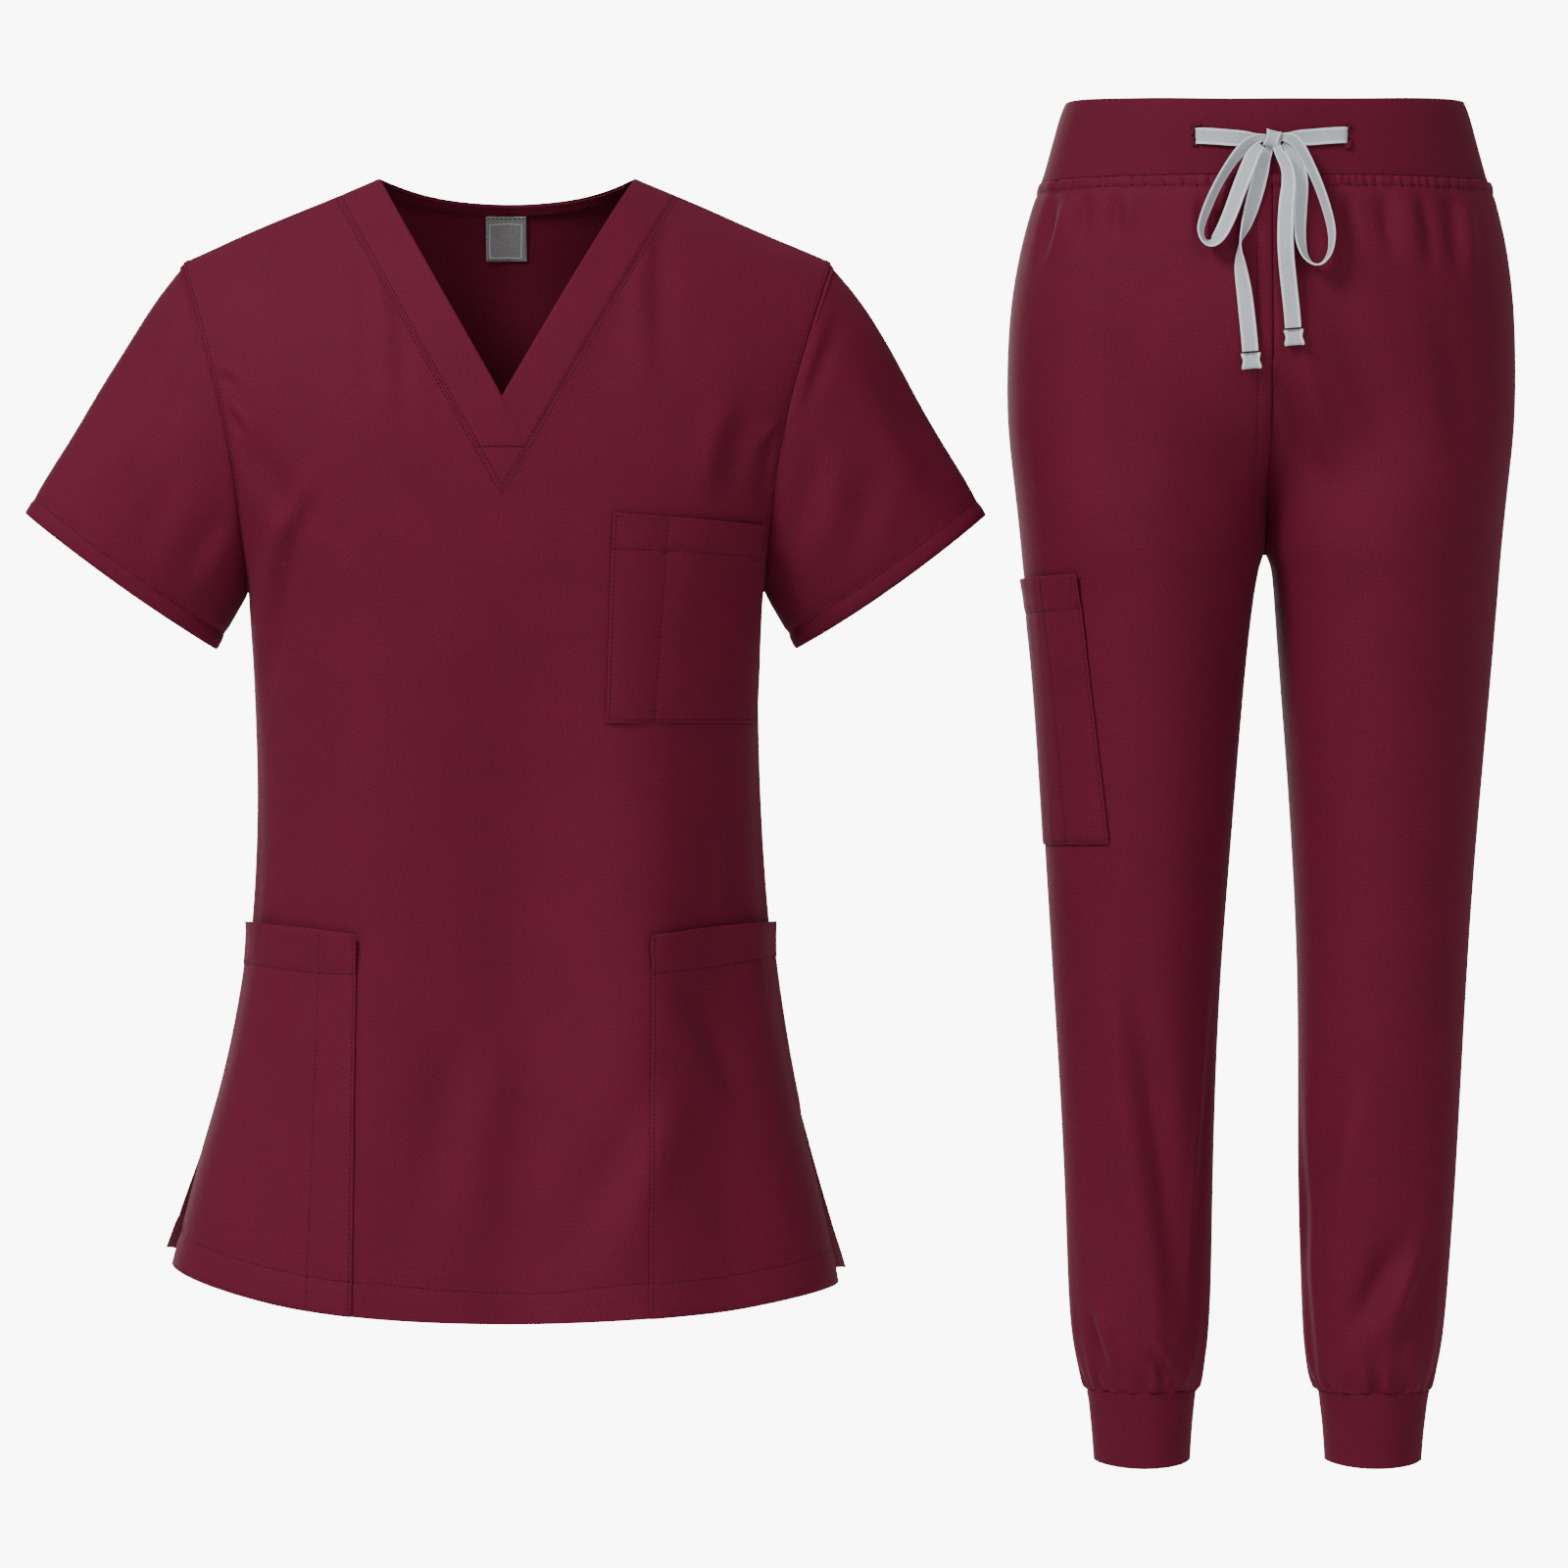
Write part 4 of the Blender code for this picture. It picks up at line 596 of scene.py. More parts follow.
class Cloth:
    """A cut piece under way: the outer face of a packed wall made fine, with its flat cut as UV."""

    def __init__(self, node, middle, grain=(0, 0, 1), levels=3, opened=None, origin=(0, 0, 0)):
        self.node = node
        self.origin = np.array(origin)
        work = bmesh.new()
        work.from_mesh(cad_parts[node].data)
        bmesh.ops.remove_doubles(work, verts=work.verts, dist=1e-5)
        self.keep_face(work, Vector(middle))
        bmesh.ops.join_triangles(
            work, faces=work.faces, angle_face_threshold=math.radians(60), angle_shape_threshold=math.radians(70)
        )
        if opened:
            for edge in work.edges:
                edge.seam = all(opened(vert.co) for vert in edge.verts)
        held = work.verts.layers.float.new("crease_vert")
        for vert in work.verts:
            ends = [edge.other_vert(vert).co - vert.co for edge in vert.link_edges if edge.is_boundary]
            if len(ends) == 2 and ends[0].angle(ends[1]) < SHARP_CORNER:
                vert[held] = 1.0
        mesh = bpy.data.meshes.new(node)
        work.to_mesh(mesh)
        work.free()
        mesh.uv_layers.new(name="cut")
        coarse = bpy.data.objects.new(f"{node}_cut", mesh)
        add(coarse)
        in_edit_mode(coarse, bpy.ops.uv.unwrap, method="ANGLE_BASED", margin=0.0)
        finer = coarse.modifiers.new("Finer", "SUBSURF")
        finer.levels = levels
        finer.render_levels = levels
        finer.boundary_smooth = "PRESERVE_CORNERS"
        bpy.ops.object.modifier_apply(modifier=finer.name)
        self.read(mesh, np.array(grain, float))
        bpy.data.objects.remove(coarse)

    def keep_face(self, work, middle):
        """Leaves only the side of the wall that looks away from the garment's middle."""
        unseen = set(work.faces)
        best = (0.0, None)
        while unseen:
            side = {unseen.pop()}
            growing = list(side)
            while growing:
                for edge in growing.pop().edges:
                    if edge.calc_face_angle(math.pi) < WALL_CORNER:
                        found = unseen.intersection(edge.link_faces)
                        unseen -= found
                        side |= found
                        growing += found
            outward = sum(
                face.calc_area() * face.normal.dot((face.calc_center_median() - middle).normalized()) for face in side
            )
            best = max(best, (outward, side), key=lambda found: found[0])
        bmesh.ops.delete(work, geom=[face for face in work.faces if face not in best[1]], context="FACES")

    def read(self, mesh, grain):
        """Takes the mesh's points, four-cornered faces and UV, which is turned to the grain and scaled true."""
        self.points = read_all(mesh.vertices, "co", 3)
        corners = read_all(mesh.loops, "vertex_index", 1, np.int32)[:, 0]
        self.faces = corners.reshape(-1, 4)
        uv = read_all(mesh.uv_layers["cut"].data, "uv", 2)
        along = self.points[corners] @ unit(grain)
        rise = np.linalg.lstsq(np.column_stack([uv, np.ones(len(uv))]), along, rcond=None)[0]
        lean = math.atan2(rise[0], rise[1])
        uv = uv @ np.array([[math.cos(lean), math.sin(lean)], [-math.sin(lean), math.cos(lean)]])
        across = np.linalg.norm(self.points[self.faces[:, 2]] - self.points[self.faces[:, 0]], axis=1)
        scale = across.sum() / np.linalg.norm(uv[2::4] - uv[0::4], axis=1).sum()
        self.uv = (uv - uv.min(axis=0)) * scale
        pairs = np.stack([self.faces, np.roll(self.faces, -1, axis=1)], axis=-1).reshape(-1, 2).astype(np.int64)
        count = len(self.points)
        self.rim = np.nonzero(~np.isin(pairs @ (count, 1), pairs @ (1, count)))[0]
        self.rim_pairs = pairs[self.rim]

    def normals(self):
        a, b, c, d = (self.points[self.faces[:, k]] for k in range(4))
        normal = np.cross(c - a, d - b)
        total = np.zeros_like(self.points)
        for k in range(4):
            np.add.at(total, self.faces[:, k], normal)
        return unit(total)

    def push(self, amount):
        """Moves every point along its normal."""
        self.points += self.normals() * np.reshape(amount, (-1, 1))

    def surface(self):
        return BVHTree.FromPolygons(self.points.tolist(), self.faces.tolist())

    def around(self, place):
        """The closed edge that passes nearest a place, as point numbers."""
        following = dict(self.rim_pairs.tolist())
        rim = np.array(sorted(following))
        walk = [rim[closest(self.points[rim], place)]]
        while following[walk[-1]] != walk[0]:
            walk.append(following[walk[-1]])
        return np.array(walk)

    def loop(self, place):
        walk = self.around(place)
        return self.points[np.append(walk, walk[0])]

    def edge(self, start, end, via=None):
        """The cloth's edge between its points nearest start and end, past via, or else past their midpoint."""
        walk = self.around(start)
        via = np.add(start, end) / 2 if via is None else via
        last, middle = (closest(self.points[walk], place) for place in (end, via))
        way = walk[: last + 1] if middle <= last else np.append(walk[0], walk[: last - 1 : -1])
        return self.points[way]

    def settle(self, places):
        """The nearest spots on the cloth, and its smooth normals there."""
        surface = self.surface()
        normals = self.normals()
        spots, faces = [], []
        for place in places:
            spot, _, face, _ = surface.find_nearest(Vector(place))
            spots.append(spot)
            faces.append(face)
        spots = np.array(spots)
        corners = self.faces[faces]
        gap = np.linalg.norm(self.points[corners] - spots[:, None], axis=2) + 1e-6
        return spots, unit((normals[corners] / gap[..., None] ** 2).sum(axis=1))

    def inside(self, line, distance):
        """A line on the cloth that runs beside one of its edges."""
        _, normal = self.settle(line)
        step = np.cross(normal, unit(np.gradient(line, axis=0))) * distance
        one, other = (self.settle(line + way * step)[0] for way in (1, -1))
        reached = [np.linalg.norm(side - line, axis=1).sum() for side in (one, other)]
        return one if reached[0] > reached[1] else other

    def seen_line(self, *places, behind=False):
        """A line on the cloth through places (side, drop) that are seen from the front, or from behind."""
        surface = self.surface()
        flat = resampled(self.origin + np.array([(side, 0.0, -drop) for side, drop in places]), LINE_PITCH)
        way = -1 if behind else 1
        hits = [surface.ray_cast(Vector((x, -way, z)), Vector((0, way, 0)))[0] for x, _, z in flat]
        return np.array([hit for hit in hits if hit is not None])

    def shell(self, material, slot, thickness, roll):
        """The closed piece: both faces, and between them an edge that stands out a little in its middle."""
        normal = self.normals()
        count = len(self.points)
        a, b = self.rim_pairs.T
        beside = unit(np.cross(self.points[b] - self.points[a], normal[a] + normal[b]))
        out = np.zeros_like(self.points)
        np.add.at(out, a, beside)
        np.add.at(out, b, beside)
        rim = np.unique(self.rim_pairs)
        place = np.zeros(count, int)
        place[rim] = 2 * count + np.arange(len(rim))
        inner = self.points - normal * thickness
        middle = self.points[rim] - normal[rim] * thickness / 2 + unit(out[rim]) * roll
        upper = np.stack([b, a, place[a], place[b]], axis=1)
        lower = np.stack([place[b], place[a], a + count, b + count], axis=1)
        faces = np.vstack([self.faces, self.faces[:, ::-1] + count, upper, lower])
        at_a = self.uv[self.rim]
        at_b = self.uv[self.rim // 4 * 4 + (self.rim + 1) % 4]
        side = np.stack([at_b, at_a, at_a, at_b], axis=1).reshape(-1, 2)
        back = self.uv.reshape(-1, 4, 2)[:, ::-1].reshape(-1, 2)
        uv = np.vstack([self.uv, back, side, side])
        points = np.vstack([self.points, inner, middle])
        return new_piece(f"{self.node}_cloth", points, faces.tolist(), material, uv, [self.node])


def resampled(line, pitch):
    """Points along a line, one pitch apart."""
    length = run(line)
    at = np.linspace(0, length[-1], max(round(length[-1] / pitch), 1) + 1)
    return np.stack([np.interp(at, length, line[:, k]) for k in range(3)], axis=1)


def gap_to(points, line):
    """Each point's distance to the nearest place on a line."""
    places = resampled(line, LINE_PITCH)
    tree = KDTree(len(places))
    for index, place in enumerate(places):
        tree.insert(place, index)
    tree.balance()
    return np.array([tree.find(point)[2] for point in points])


def near(points, line, reach):
    """1 on a line, falling to 0 a little more than reach away from it."""
    return fall(gap_to(points, line), reach)


def slack(points, size, height, seed):
    """Broad faint unevenness, from a few waves that mostly run sideways, so that the cloth hangs in soft streaks."""
    chance = np.random.default_rng(seed)
    total = np.zeros(len(points))
    for _ in range(8):
        way = unit(chance.normal(size=3) * (1, 1, 0.3)) * 2 * math.pi / (size * chance.uniform(0.7, 1.9))
        total += np.sin(points @ way + chance.uniform(0, 2 * math.pi))
    return height * total / math.sqrt(8)


def folded(points, folds, origin=(0.0, 0.0, 0.0)):
    """How far cloth stands out along its creases. Each is a line through three places, with a trough along it that
    is deepest midway. lip raises a ridge on the left of the way the line runs, or on its right if negative."""
    flat = (points - np.array(origin))[:, [0, 2]] * (1, -1)
    total = np.zeros(len(points))
    steps = np.linspace(0, 2, CREASE_PARTS + 1)
    for x1, drop1, x2, drop2, x3, drop3, width, depth, lip in zip(*folds.values()):
        curve = np.stack([spline(np.array([x1, x2, x3]), steps), spline(np.array([drop1, drop2, drop3]), steps)], 1)
        gap = flat[:, None] - curve[None]
        nearest = np.argmin((gap**2).sum(axis=2), axis=1)
        way = unit(np.gradient(curve, axis=0))[nearest]
        gap = gap[np.arange(len(flat)), nearest]
        aside = (way[:, 1] * gap[:, 0] - way[:, 0] * gap[:, 1]) / width
        pitch = np.linalg.norm(np.diff(curve, axis=0), axis=1).mean()
        at = nearest + (gap * way).sum(axis=1) / pitch
        along = np.clip(at, 0, CREASE_PARTS)
        beyond = (at - along) * pitch / width
        strength = depth * np.sin(math.pi * (0.05 + 0.9 * along / CREASE_PARTS)) * fall(beyond, 1)
        ridge = fall(aside - math.copysign(LIP_ASIDE, lip), 1)
        total += strength * (abs(lip) * ridge - fall(aside, 1))
    return total


def doubled(gap, turn, softness):
    """1 where the cloth is turned in at its edge, and 0 past the turn."""
    return 1 / (1 + np.exp(np.clip((gap - turn) / softness, -30, 30)))


def turned(points, edge, turn, seed, pull=HEM_PULL):
    """A turned and topstitched hem: doubled cloth along an edge, drawn in unevenly where the stitches are."""
    gap = gap_to(points, edge)
    drawn = fall(gap - turn, HEM_REACH) * (1 + slack(points, 0.014, 0.6, seed))
    return HEM_RISE * doubled(gap, turn, TURN_SOFT) - pull * drawn


NAP = {"Sheen_Weight": 0.06, "Sheen_Roughness": 0.5, "Sheen_Tint": (1.0, 0.2, 0.38, 1.0), "Specular_IOR_Level": 0.22}


def dyed_cloth(name, wine, roughness, weave, lines, light, slubs, dyes, shine, relief, bump):
    """Dyed stretch cloth: the lines of a weave(across, along), with slubs, uneven dye and a short soft nap. shine is
    the slubs' part of the roughness; relief is the height of the weave and of the slubs."""
    material, shader, s = finish(name, wine, roughness, **NAP)
    cut, across, along = s.cut_place()
    woven = weave(across, along)
    slub = s.noise(slubs, 3.0, Vector=cut, Roughness=0.6)
    tone = woven * lines + slub * 0.85 + s.noise(dyes, Vector=cut) * 0.15
    feed(shader, "Base Color", tone.dyed(wine, (0.25, 0.6), (0.85, light)))
    feed(shader, "Roughness", slub * shine + (roughness - shine / 2))
    feed(shader, "Normal", (woven * relief[0] + slub * relief[1]).bump(*bump))
    return material


def twill(across, along):
    """A fine slanting twill."""
    return (across * 1.2 + along).wave(0.0011) * 0.6 + across.wave(0.0008) * 0.4


POPLIN_FINISH = dyed_cloth("poplin", WINE, 0.78, twill, 0.06, 1.45, 620.0, 24.0, 0.16, (0.5, 1.3), (0.3, 0.00025))
# Wine topstitch thread, painted far darker than the cloth: part of its darkness is painted shade, standing in for the
# sunken stitch line.
WINE_THREAD_AND_SHADE = thread_finish("wine_thread_and_shade", (0.022, 0.0002, 0.0038))
TACK = 0.0011


def stitched(cloth, rows=(), tacks=()):
    """The rows of stitches on a piece of cloth, and its tacks, where they are dense."""
    stitches = []
    for line, pitch in [(row, STITCH) for row in rows] + [(tack, TACK) for tack in tacks]:
        spots, normals = cloth.settle(resampled(np.array(line), pitch))
        stitches += list(zip(spots[:-1], spots[1:], unit(normals[:-1] + normals[1:])))
    return sewn(f"{cloth.node}_stitches", stitches, WINE_THREAD_AND_SHADE)


def sewn_sheet(cloth, rows=(), tacks=(), behind=(), roll=SEAM_ROLL, **cut):
    """A finished poplin piece with its stitches and the seam allowances behind it. cut, its size and its hold, is not
    used.
    """
    piece = cloth.shell(POPLIN_FINISH, "poplin", POPLIN, roll)
    parts = [stitched(cloth, rows, tacks), *[allowances(*seams) for seams in behind]]
    return piece


CREASE = "x1 drop1 x2 drop2 x3 drop3 width depth lip"
FRONT_FOLDS = table(CREASE, """
        15   300     13   600      0   900  42  14   0.6
      -133   300   -142   600   -156   900  32 8.5   0.9
       138   320    148   600    165   900  33  10 -0.35
     -94.8  41.8  -90.4  74.5  -85.4   150   8 2.4   0.8
       -68    90    -64   130    -60   180   7 1.4   0.8
      95.2  27.3  100.2  57.5    104   140   9 2.2  -0.8
      -188   135 -180.4 133.7 -172.9 138.7 3.4 1.8   0.9
    -180.4 155.1 -174.1 161.4 -169.7 169.6 3.6   2   0.9
    -169.1 170.2 -147.1 203.6 -126.3 231.9  11 3.4  -0.5
      -116   205   -137 247.6   -150   315 7.5 4.2    -1
    -144.6 253.9 -148.3 294.8 -156.5 346.4   5 1.8  -0.9
     185.8 162.6  179.5 168.9    172 178.4 3.6 2.2  -0.9
     182.7 163.9  175.8 182.8    169 209.8   8   4   0.6
       160   150    150   182    144   215  10   3  -0.7
     148.1   427  150.6 455.3  153.1 482.3   4   1  -1.2
    -105.5 354.6   -115 414.4 -122.5   471  14 2.2   0.6
     -26.9 552.8  -38.2 603.2  -48.3   690  18   5   0.7
      95.2 579.9   68.8 644.7   37.3 710.2  15 4.8   0.7
    -133.9 523.3 -149.6 559.1 -167.2 596.9  11   3   0.7
     111.6 523.3  139.9 559.1  161.9 603.2  12 3.6  -0.7
""")
SEAM_FADE = 0.006
SIDE_FADE = 0.014

# Where the panels' corners are, on the right side where left and right are alike.
SHOULDER_POINT = (0.2113, 0, -0.0549)
UNDERARM = (0.167, 0, -0.2785)
NECK_POINT = (0.1106, 0, -0.0117)
VENT_TOPS = ((-0.196, 0, -0.634), (0.186, 0, -0.603))


def both(point):
    """A point's twin on the left side, and the point."""
    return (-point[0], *point[1:]), point


def panel_edges(panel, neck, corners):
    """The hem, the neckline, the two vents and the two armholes of the front or the back."""
    vents = [panel.edge(*ends) for ends in zip(corners, VENT_TOPS)]
    armholes = [panel.edge(*ends) for ends in zip(both(SHOULDER_POINT), both(UNDERARM))]
    return panel.edge(*corners), panel.edge(*both(neck)), vents, armholes


def panel_rows(panel, edges, beside_neck):
    """The rows of stitches along a panel's edges."""
    hem, neck, vents, armholes = edges
    rows = [panel.inside(hem, HEM_TURN), panel.inside(neck, beside_neck)]
    rows += [panel.inside(vent, VENT_TURN) for vent in vents]
    return rows + [panel.inside(hole, BESIDE_SEAM) for hole in armholes]


def panel_relief(points, folds, edges, seed):
    """Creases, and a drape that fades out at the seams, over a turned hem."""
    hem, neck, _, armholes = edges
    creased = folded(points, folds) * (1 - near(points, np.vstack(side_lines), SIDE_FADE))
    hung = creased + slack(points, 0.09, 0.0006, 3)
    return hung * (1 - near(points, np.vstack([neck, *armholes]), SEAM_FADE)) + turned(points, hem, HEM_TURN, seed)


front = Cloth("tunic_front", TUNIC_MIDDLE)
front_edges = panel_edges(front, NECK_POINT, ((-0.2167, -0.0096, -0.7086), (0.2149, -0.0112, -0.7203)))
side_lines = [front.edge(start, np.add(top, (0, 0, 0.002))) for start, top in zip(both(UNDERARM), VENT_TOPS)]


def front_relief(points):
    """What the front and the pockets that lie on it have in common."""
    return panel_relief(points, FRONT_FOLDS, front_edges, 5)


vent_turns = sum(turned(front.points, vent, VENT_TURN, 6, VENT_PULL) for vent in front_edges[2])
front.push(front_relief(front.points) + vent_turns)
front_rows = panel_rows(front, front_edges, BESIDE_SEAM)
front_piece = sewn_sheet(front, front_rows, flat=(0.56, 0.75), area=0.31, held="hung")


# ------------------------ tunic back
# The back is cut in one piece with a high neckline. It is a little longer than the front, so its corners show
# beside the front's at the vents.

BACK_FOLDS = table(CREASE, """
    -170 130 -145 165 -115 205 12 2.4  0.6
     168 140  140 182  112 230 11 2.1 -0.6
     -95  50 -101  90 -104 130 10 1.2  0.7
      90  46   95  82  102 125  9 1.4 -0.7
     -85 330  -96 400 -108 480 16 2.4  0.5
      92 315  101 390  110 470 17 2.3 -0.5
     -30 540  -42 610  -54 700 19 3.3  0.6
      48 560   56 630   69 705 18 3.6 -0.6
     135 530  152 590  170 650 14 2.1  0.6
    -130 550 -148 605 -165 660 13 2.1 -0.6
""")

back = Cloth("tunic_back", TUNIC_MIDDLE, levels=2)
back_edges = panel_edges(back, (0.0837, 0, -0.0001), ((-0.2227, 0.0082, -0.6984), (0.2208, 0.0112, -0.7118)))
back.push(panel_relief(back.points, BACK_FOLDS, back_edges, 15))

# Inside, the edges of two joined pieces are overlocked together and lie flat behind the seam.
ALLOWANCE_HALF = 0.003
ALLOWANCE_THICK = 0.0005
ALLOWANCE_DEEP = 0.0014
ALLOWANCE_PITCH = 0.005
BACK_NECK_TURN = 0.005


def allowances(name, seams, apart=0.0):
    """The strips behind some seams, each given by its line and the two pieces of cloth that it joins."""
    points, faces = [], []
    section = [(a, b) for b in (-ALLOWANCE_DEEP, -ALLOWANCE_DEEP - ALLOWANCE_THICK) for a in (-1, 1)]
    for line, one, other in seams:
        line = resampled(line, ALLOWANCE_PITCH)
        out = unit(one.settle(line - (apart, 0, 0))[1] + other.settle(line + (apart, 0, 0))[1])
        across = np.cross(unit(np.gradient(line, axis=0)), out) * ALLOWANCE_HALF
        first = len(points)
        for k, (a, b) in enumerate(section):
            points += list(line + across * a + out * b)
        low_left, low_right, high_left, high_right = (first + k * len(line) for k in range(4))
        ring = (low_left, low_right, high_right, high_left)
        for i in range(len(line) - 1):
            for a, b in zip(ring, ring[1:] + ring[:1]):
                faces.append((a + i, b + i, b + i + 1, a + i + 1))
        faces += [tuple(ring[::-1]), tuple(corner + len(line) - 1 for corner in ring)]
    uv = np.array([(points[k][0] + points[k][1], points[k][2]) for face in faces for k in face])
    piece = new_piece(name, points, faces, POPLIN_FINISH, uv)
    in_edit_mode(piece, bpy.ops.mesh.normals_make_consistent, inside=False)
    return piece


shoulder_lines = [front.edge(*ends) for ends in zip(both(NECK_POINT), both(SHOULDER_POINT))]
tunic_seams = [(line, front, back) for line in side_lines + shoulder_lines]
sewn_sheet(
    back,
    panel_rows(back, back_edges, BACK_NECK_TURN),
    behind=[("tunic_seam_allowances", tunic_seams)],
    flat=(0.56, 0.75),
    area=0.32,
    held="hung",
)


# ------------------------ sleeves
# Short set-in sleeves, each one cut piece closed under the arm. Their hems are turned in and topstitched, and they
# drag in soft folds from the shoulder point towards the hem.

SLEEVE_TURN = 0.011
SLEEVE_FOLDS = {
    "left": table(CREASE, """
    -220.9 101.5   -250 148.4 -280.5 192.7 12   4  0.5
    -196.2  78.7 -205.7 123.1 -218.4 161.1  9 2.2 -0.7
      -180   215   -196   242   -210   265  8 1.8  0.7
      -214   190   -226   220   -240   248 10 1.6  0.6
"""),
    "right": table(CREASE, """
    240.4 121.2 266.3 161.1 288.5 200.4 12   4 -0.5
    216.9  90.1 204.9 124.3 192.2 157.9  6 1.8   -1
      203 176.9 194.7 218.1 188.4   251 10 2.9  0.6
      240   190   233   220   224   252 10 1.6  0.6
"""),
}


def under_arm(place):
    return abs(place.y) < 0.006 and place.z < -0.26


for side, way in SIDES.items():
    sleeve = Cloth(f"sleeve_{side}", (way * 0.242, 0, -0.182), grain=(-way * 0.52, 0, 0.85), opened=under_arm)
    hem = sleeve.loop((way * 0.252, -0.0425, -0.265))
    armhole = sleeve.loop((way * 0.2114, 0.0, -0.0569))
    relief = folded(sleeve.points, SLEEVE_FOLDS[side]) + slack(sleeve.points, 0.07, 0.00035, 21 + way)
    relief *= 1 - near(sleeve.points, armhole, SEAM_FADE)
    sleeve.push(relief + turned(sleeve.points, hem, SLEEVE_TURN, 23 + way))
    holes = [(edges[3][max(way, 0)], panel, sleeve) for panel, edges in ((front, front_edges), (back, back_edges))]
    sewn_sheet(
        sleeve,
        [sleeve.inside(hem, SLEEVE_TURN)],
        behind=[(f"sleeve_{side}_allowances", holes)],
        roll=FOLD_ROLL,
        flat=(0.36, 0.24),
        area=0.055,
        held="hung",
    )


# ------------------------ neckbands and tab
# A doubled band follows each side of the V. The band on the left runs over the other's end, and both end on a small
# three-cornered tab. The inner edges are folds, and the outer ones are sewn to the front.

NECKBAND_MIDDLE = (0.0, 0.03, -0.05)
BAND_DENT = 0.0003
BAND_REACH = 0.0024
BESIDE_END = 0.0011
for side, way in SIDES.items():
    band = Cloth(f"neckband_{side}", NECKBAND_MIDDLE, grain=(-way * 0.55, 0.55, -0.62))
    seam = band.edge((way * 0.1102, 0, -0.0115), (way * 0.0153, -0.1102, -0.18))
    band.push(slack(band.points, 0.05, 0.00015, 31) - BAND_DENT * near(band.points, seam, BAND_REACH))
    rows = [band.inside(seam, BESIDE_SEAM)]
    if side == "left":
        rows.append(band.inside(band.edge((-0.0152, -0.1102, -0.18), (0.0151, -0.1102, -0.1801)), BESIDE_END))
    sewn_sheet(band, rows, roll=FOLD_ROLL, flat=(0.03, 0.265), held="folded")

tab = Cloth("neck_tab", (0.0, 0.2, -0.2))
tab_sides = tab.edge((-0.0151, -0.1102, -0.1804), (0.0151, -0.1102, -0.1804), (0, -0.1116, -0.2061))
tab_rows = [tab.inside(tab_sides, BESIDE_SEAM)]
sewn_sheet(tab, tab_rows, roll=FOLD_ROLL, flat=(0.032, 0.03), area=0.0005, held="folded")


# ------------------------ back-neck tape and label
# A bias tape covers the seam inside the back of the neck, and a grey woven label hangs from it by its top edge. The
# label is bare but for a plain woven line near its edge.

TAPE_MIDDLE = (0.0, 2.2, 0.0)
BESIDE_TAPE = 0.0013
BESIDE_LABEL = 0.0012
neck_tape = Cloth("back_neck_tape", TAPE_MIDDLE, grain=(1, 0, 0))
tape_rows = [neck_tape.inside(neck_tape.loop((0.0, 0.063, -0.02)), BESIDE_TAPE)]
sewn_sheet(neck_tape, tape_rows, flat=(0.01, 0.18), area=0.0015, held="folded")

LABEL_SIZE = (0.0264, 0.029)
LINE_IN = 0.0026
LINE_HALF = 0.00035
LABEL_THICK = 0.0006
LABEL_GREY = (0.125, 0.12, 0.124)
LINE_GREY = (0.55, 0.55, 0.56)


def woven_label():
    """Damask-woven label: fine satin ribs in mid grey, with one pale woven line all round."""
    material, shader, s = finish("woven_label", LABEL_GREY, 0.55, Sheen_Weight=0.1)
    cut, across, along = s.cut_place()
    from_side, from_end = (size / 2 - abs(way - size / 2) for way, size in zip((across, along), LABEL_SIZE))
    line = 1 - (abs(s.math("MINIMUM", from_side, from_end) - LINE_IN) > LINE_HALF)
    ribs = along.wave(0.0006) * 0.5 + across.wave(0.0009) * 0.25
    tone = ribs * 0.3 + s.noise(900.0, Vector=cut)
    ground = tone.ramp((0.25, (0.14, 0.134, 0.14)), (0.8, (0.29, 0.28, 0.29)))
    pale = s.node("ShaderNodeMix", {0: line * 0.8, 6: ground, 7: (*LINE_GREY, 1)}, output=2, data_type="RGBA")
    feed(shader, "Base Color", pale)
    feed(shader, "Normal", (ribs + line).bump(0.5, 0.0002))
    return material


label = Cloth("neck_label", TAPE_MIDDLE)
label.push(slack(label.points, 0.03, 0.00025, 41))
label_row = label.inside(label.edge((-0.0156, 0.0595, -0.0215), (0.0104, 0.0608, -0.0215)), BESIDE_LABEL)
label_piece = label.shell(woven_label(), "label", LABEL_THICK, SEAM_ROLL)
stitched(label, [label_row])


# ------------------------ chest pocket
# A patch pocket with a turned mouth, sewn on round its other sides. A line of stitches parts it in two, and ends in
# a tack at the bottom.

MOUTH_STEP = 0.0005
MOUTH_PULL = 0.0007
MOUTH_EDGE = 0.001
PULL_REACH = 0.0022
SEAM_DENT = 0.0003
SEAM_REACH = 0.0025


def mouth_relief(above, row, uneven=1):
    """A doubled mouth stands out down to its stitches, which draw it in."""
    return MOUTH_STEP * np.where(above, 1, fall(row, MOUTH_EDGE)) - MOUTH_PULL * fall(row, PULL_REACH) * uneven


def pocket_relief(points, mouth_row, seed):
    """A pocket follows the front that it lies on."""
    above = np.interp(points[:, 0], mouth_row[:, 0], mouth_row[:, 2]) < points[:, 2]
    uneven = 1 + slack(points, 0.016, 0.5, seed)
    return front_relief(points) + mouth_relief(above, gap_to(points, mouth_row), uneven)


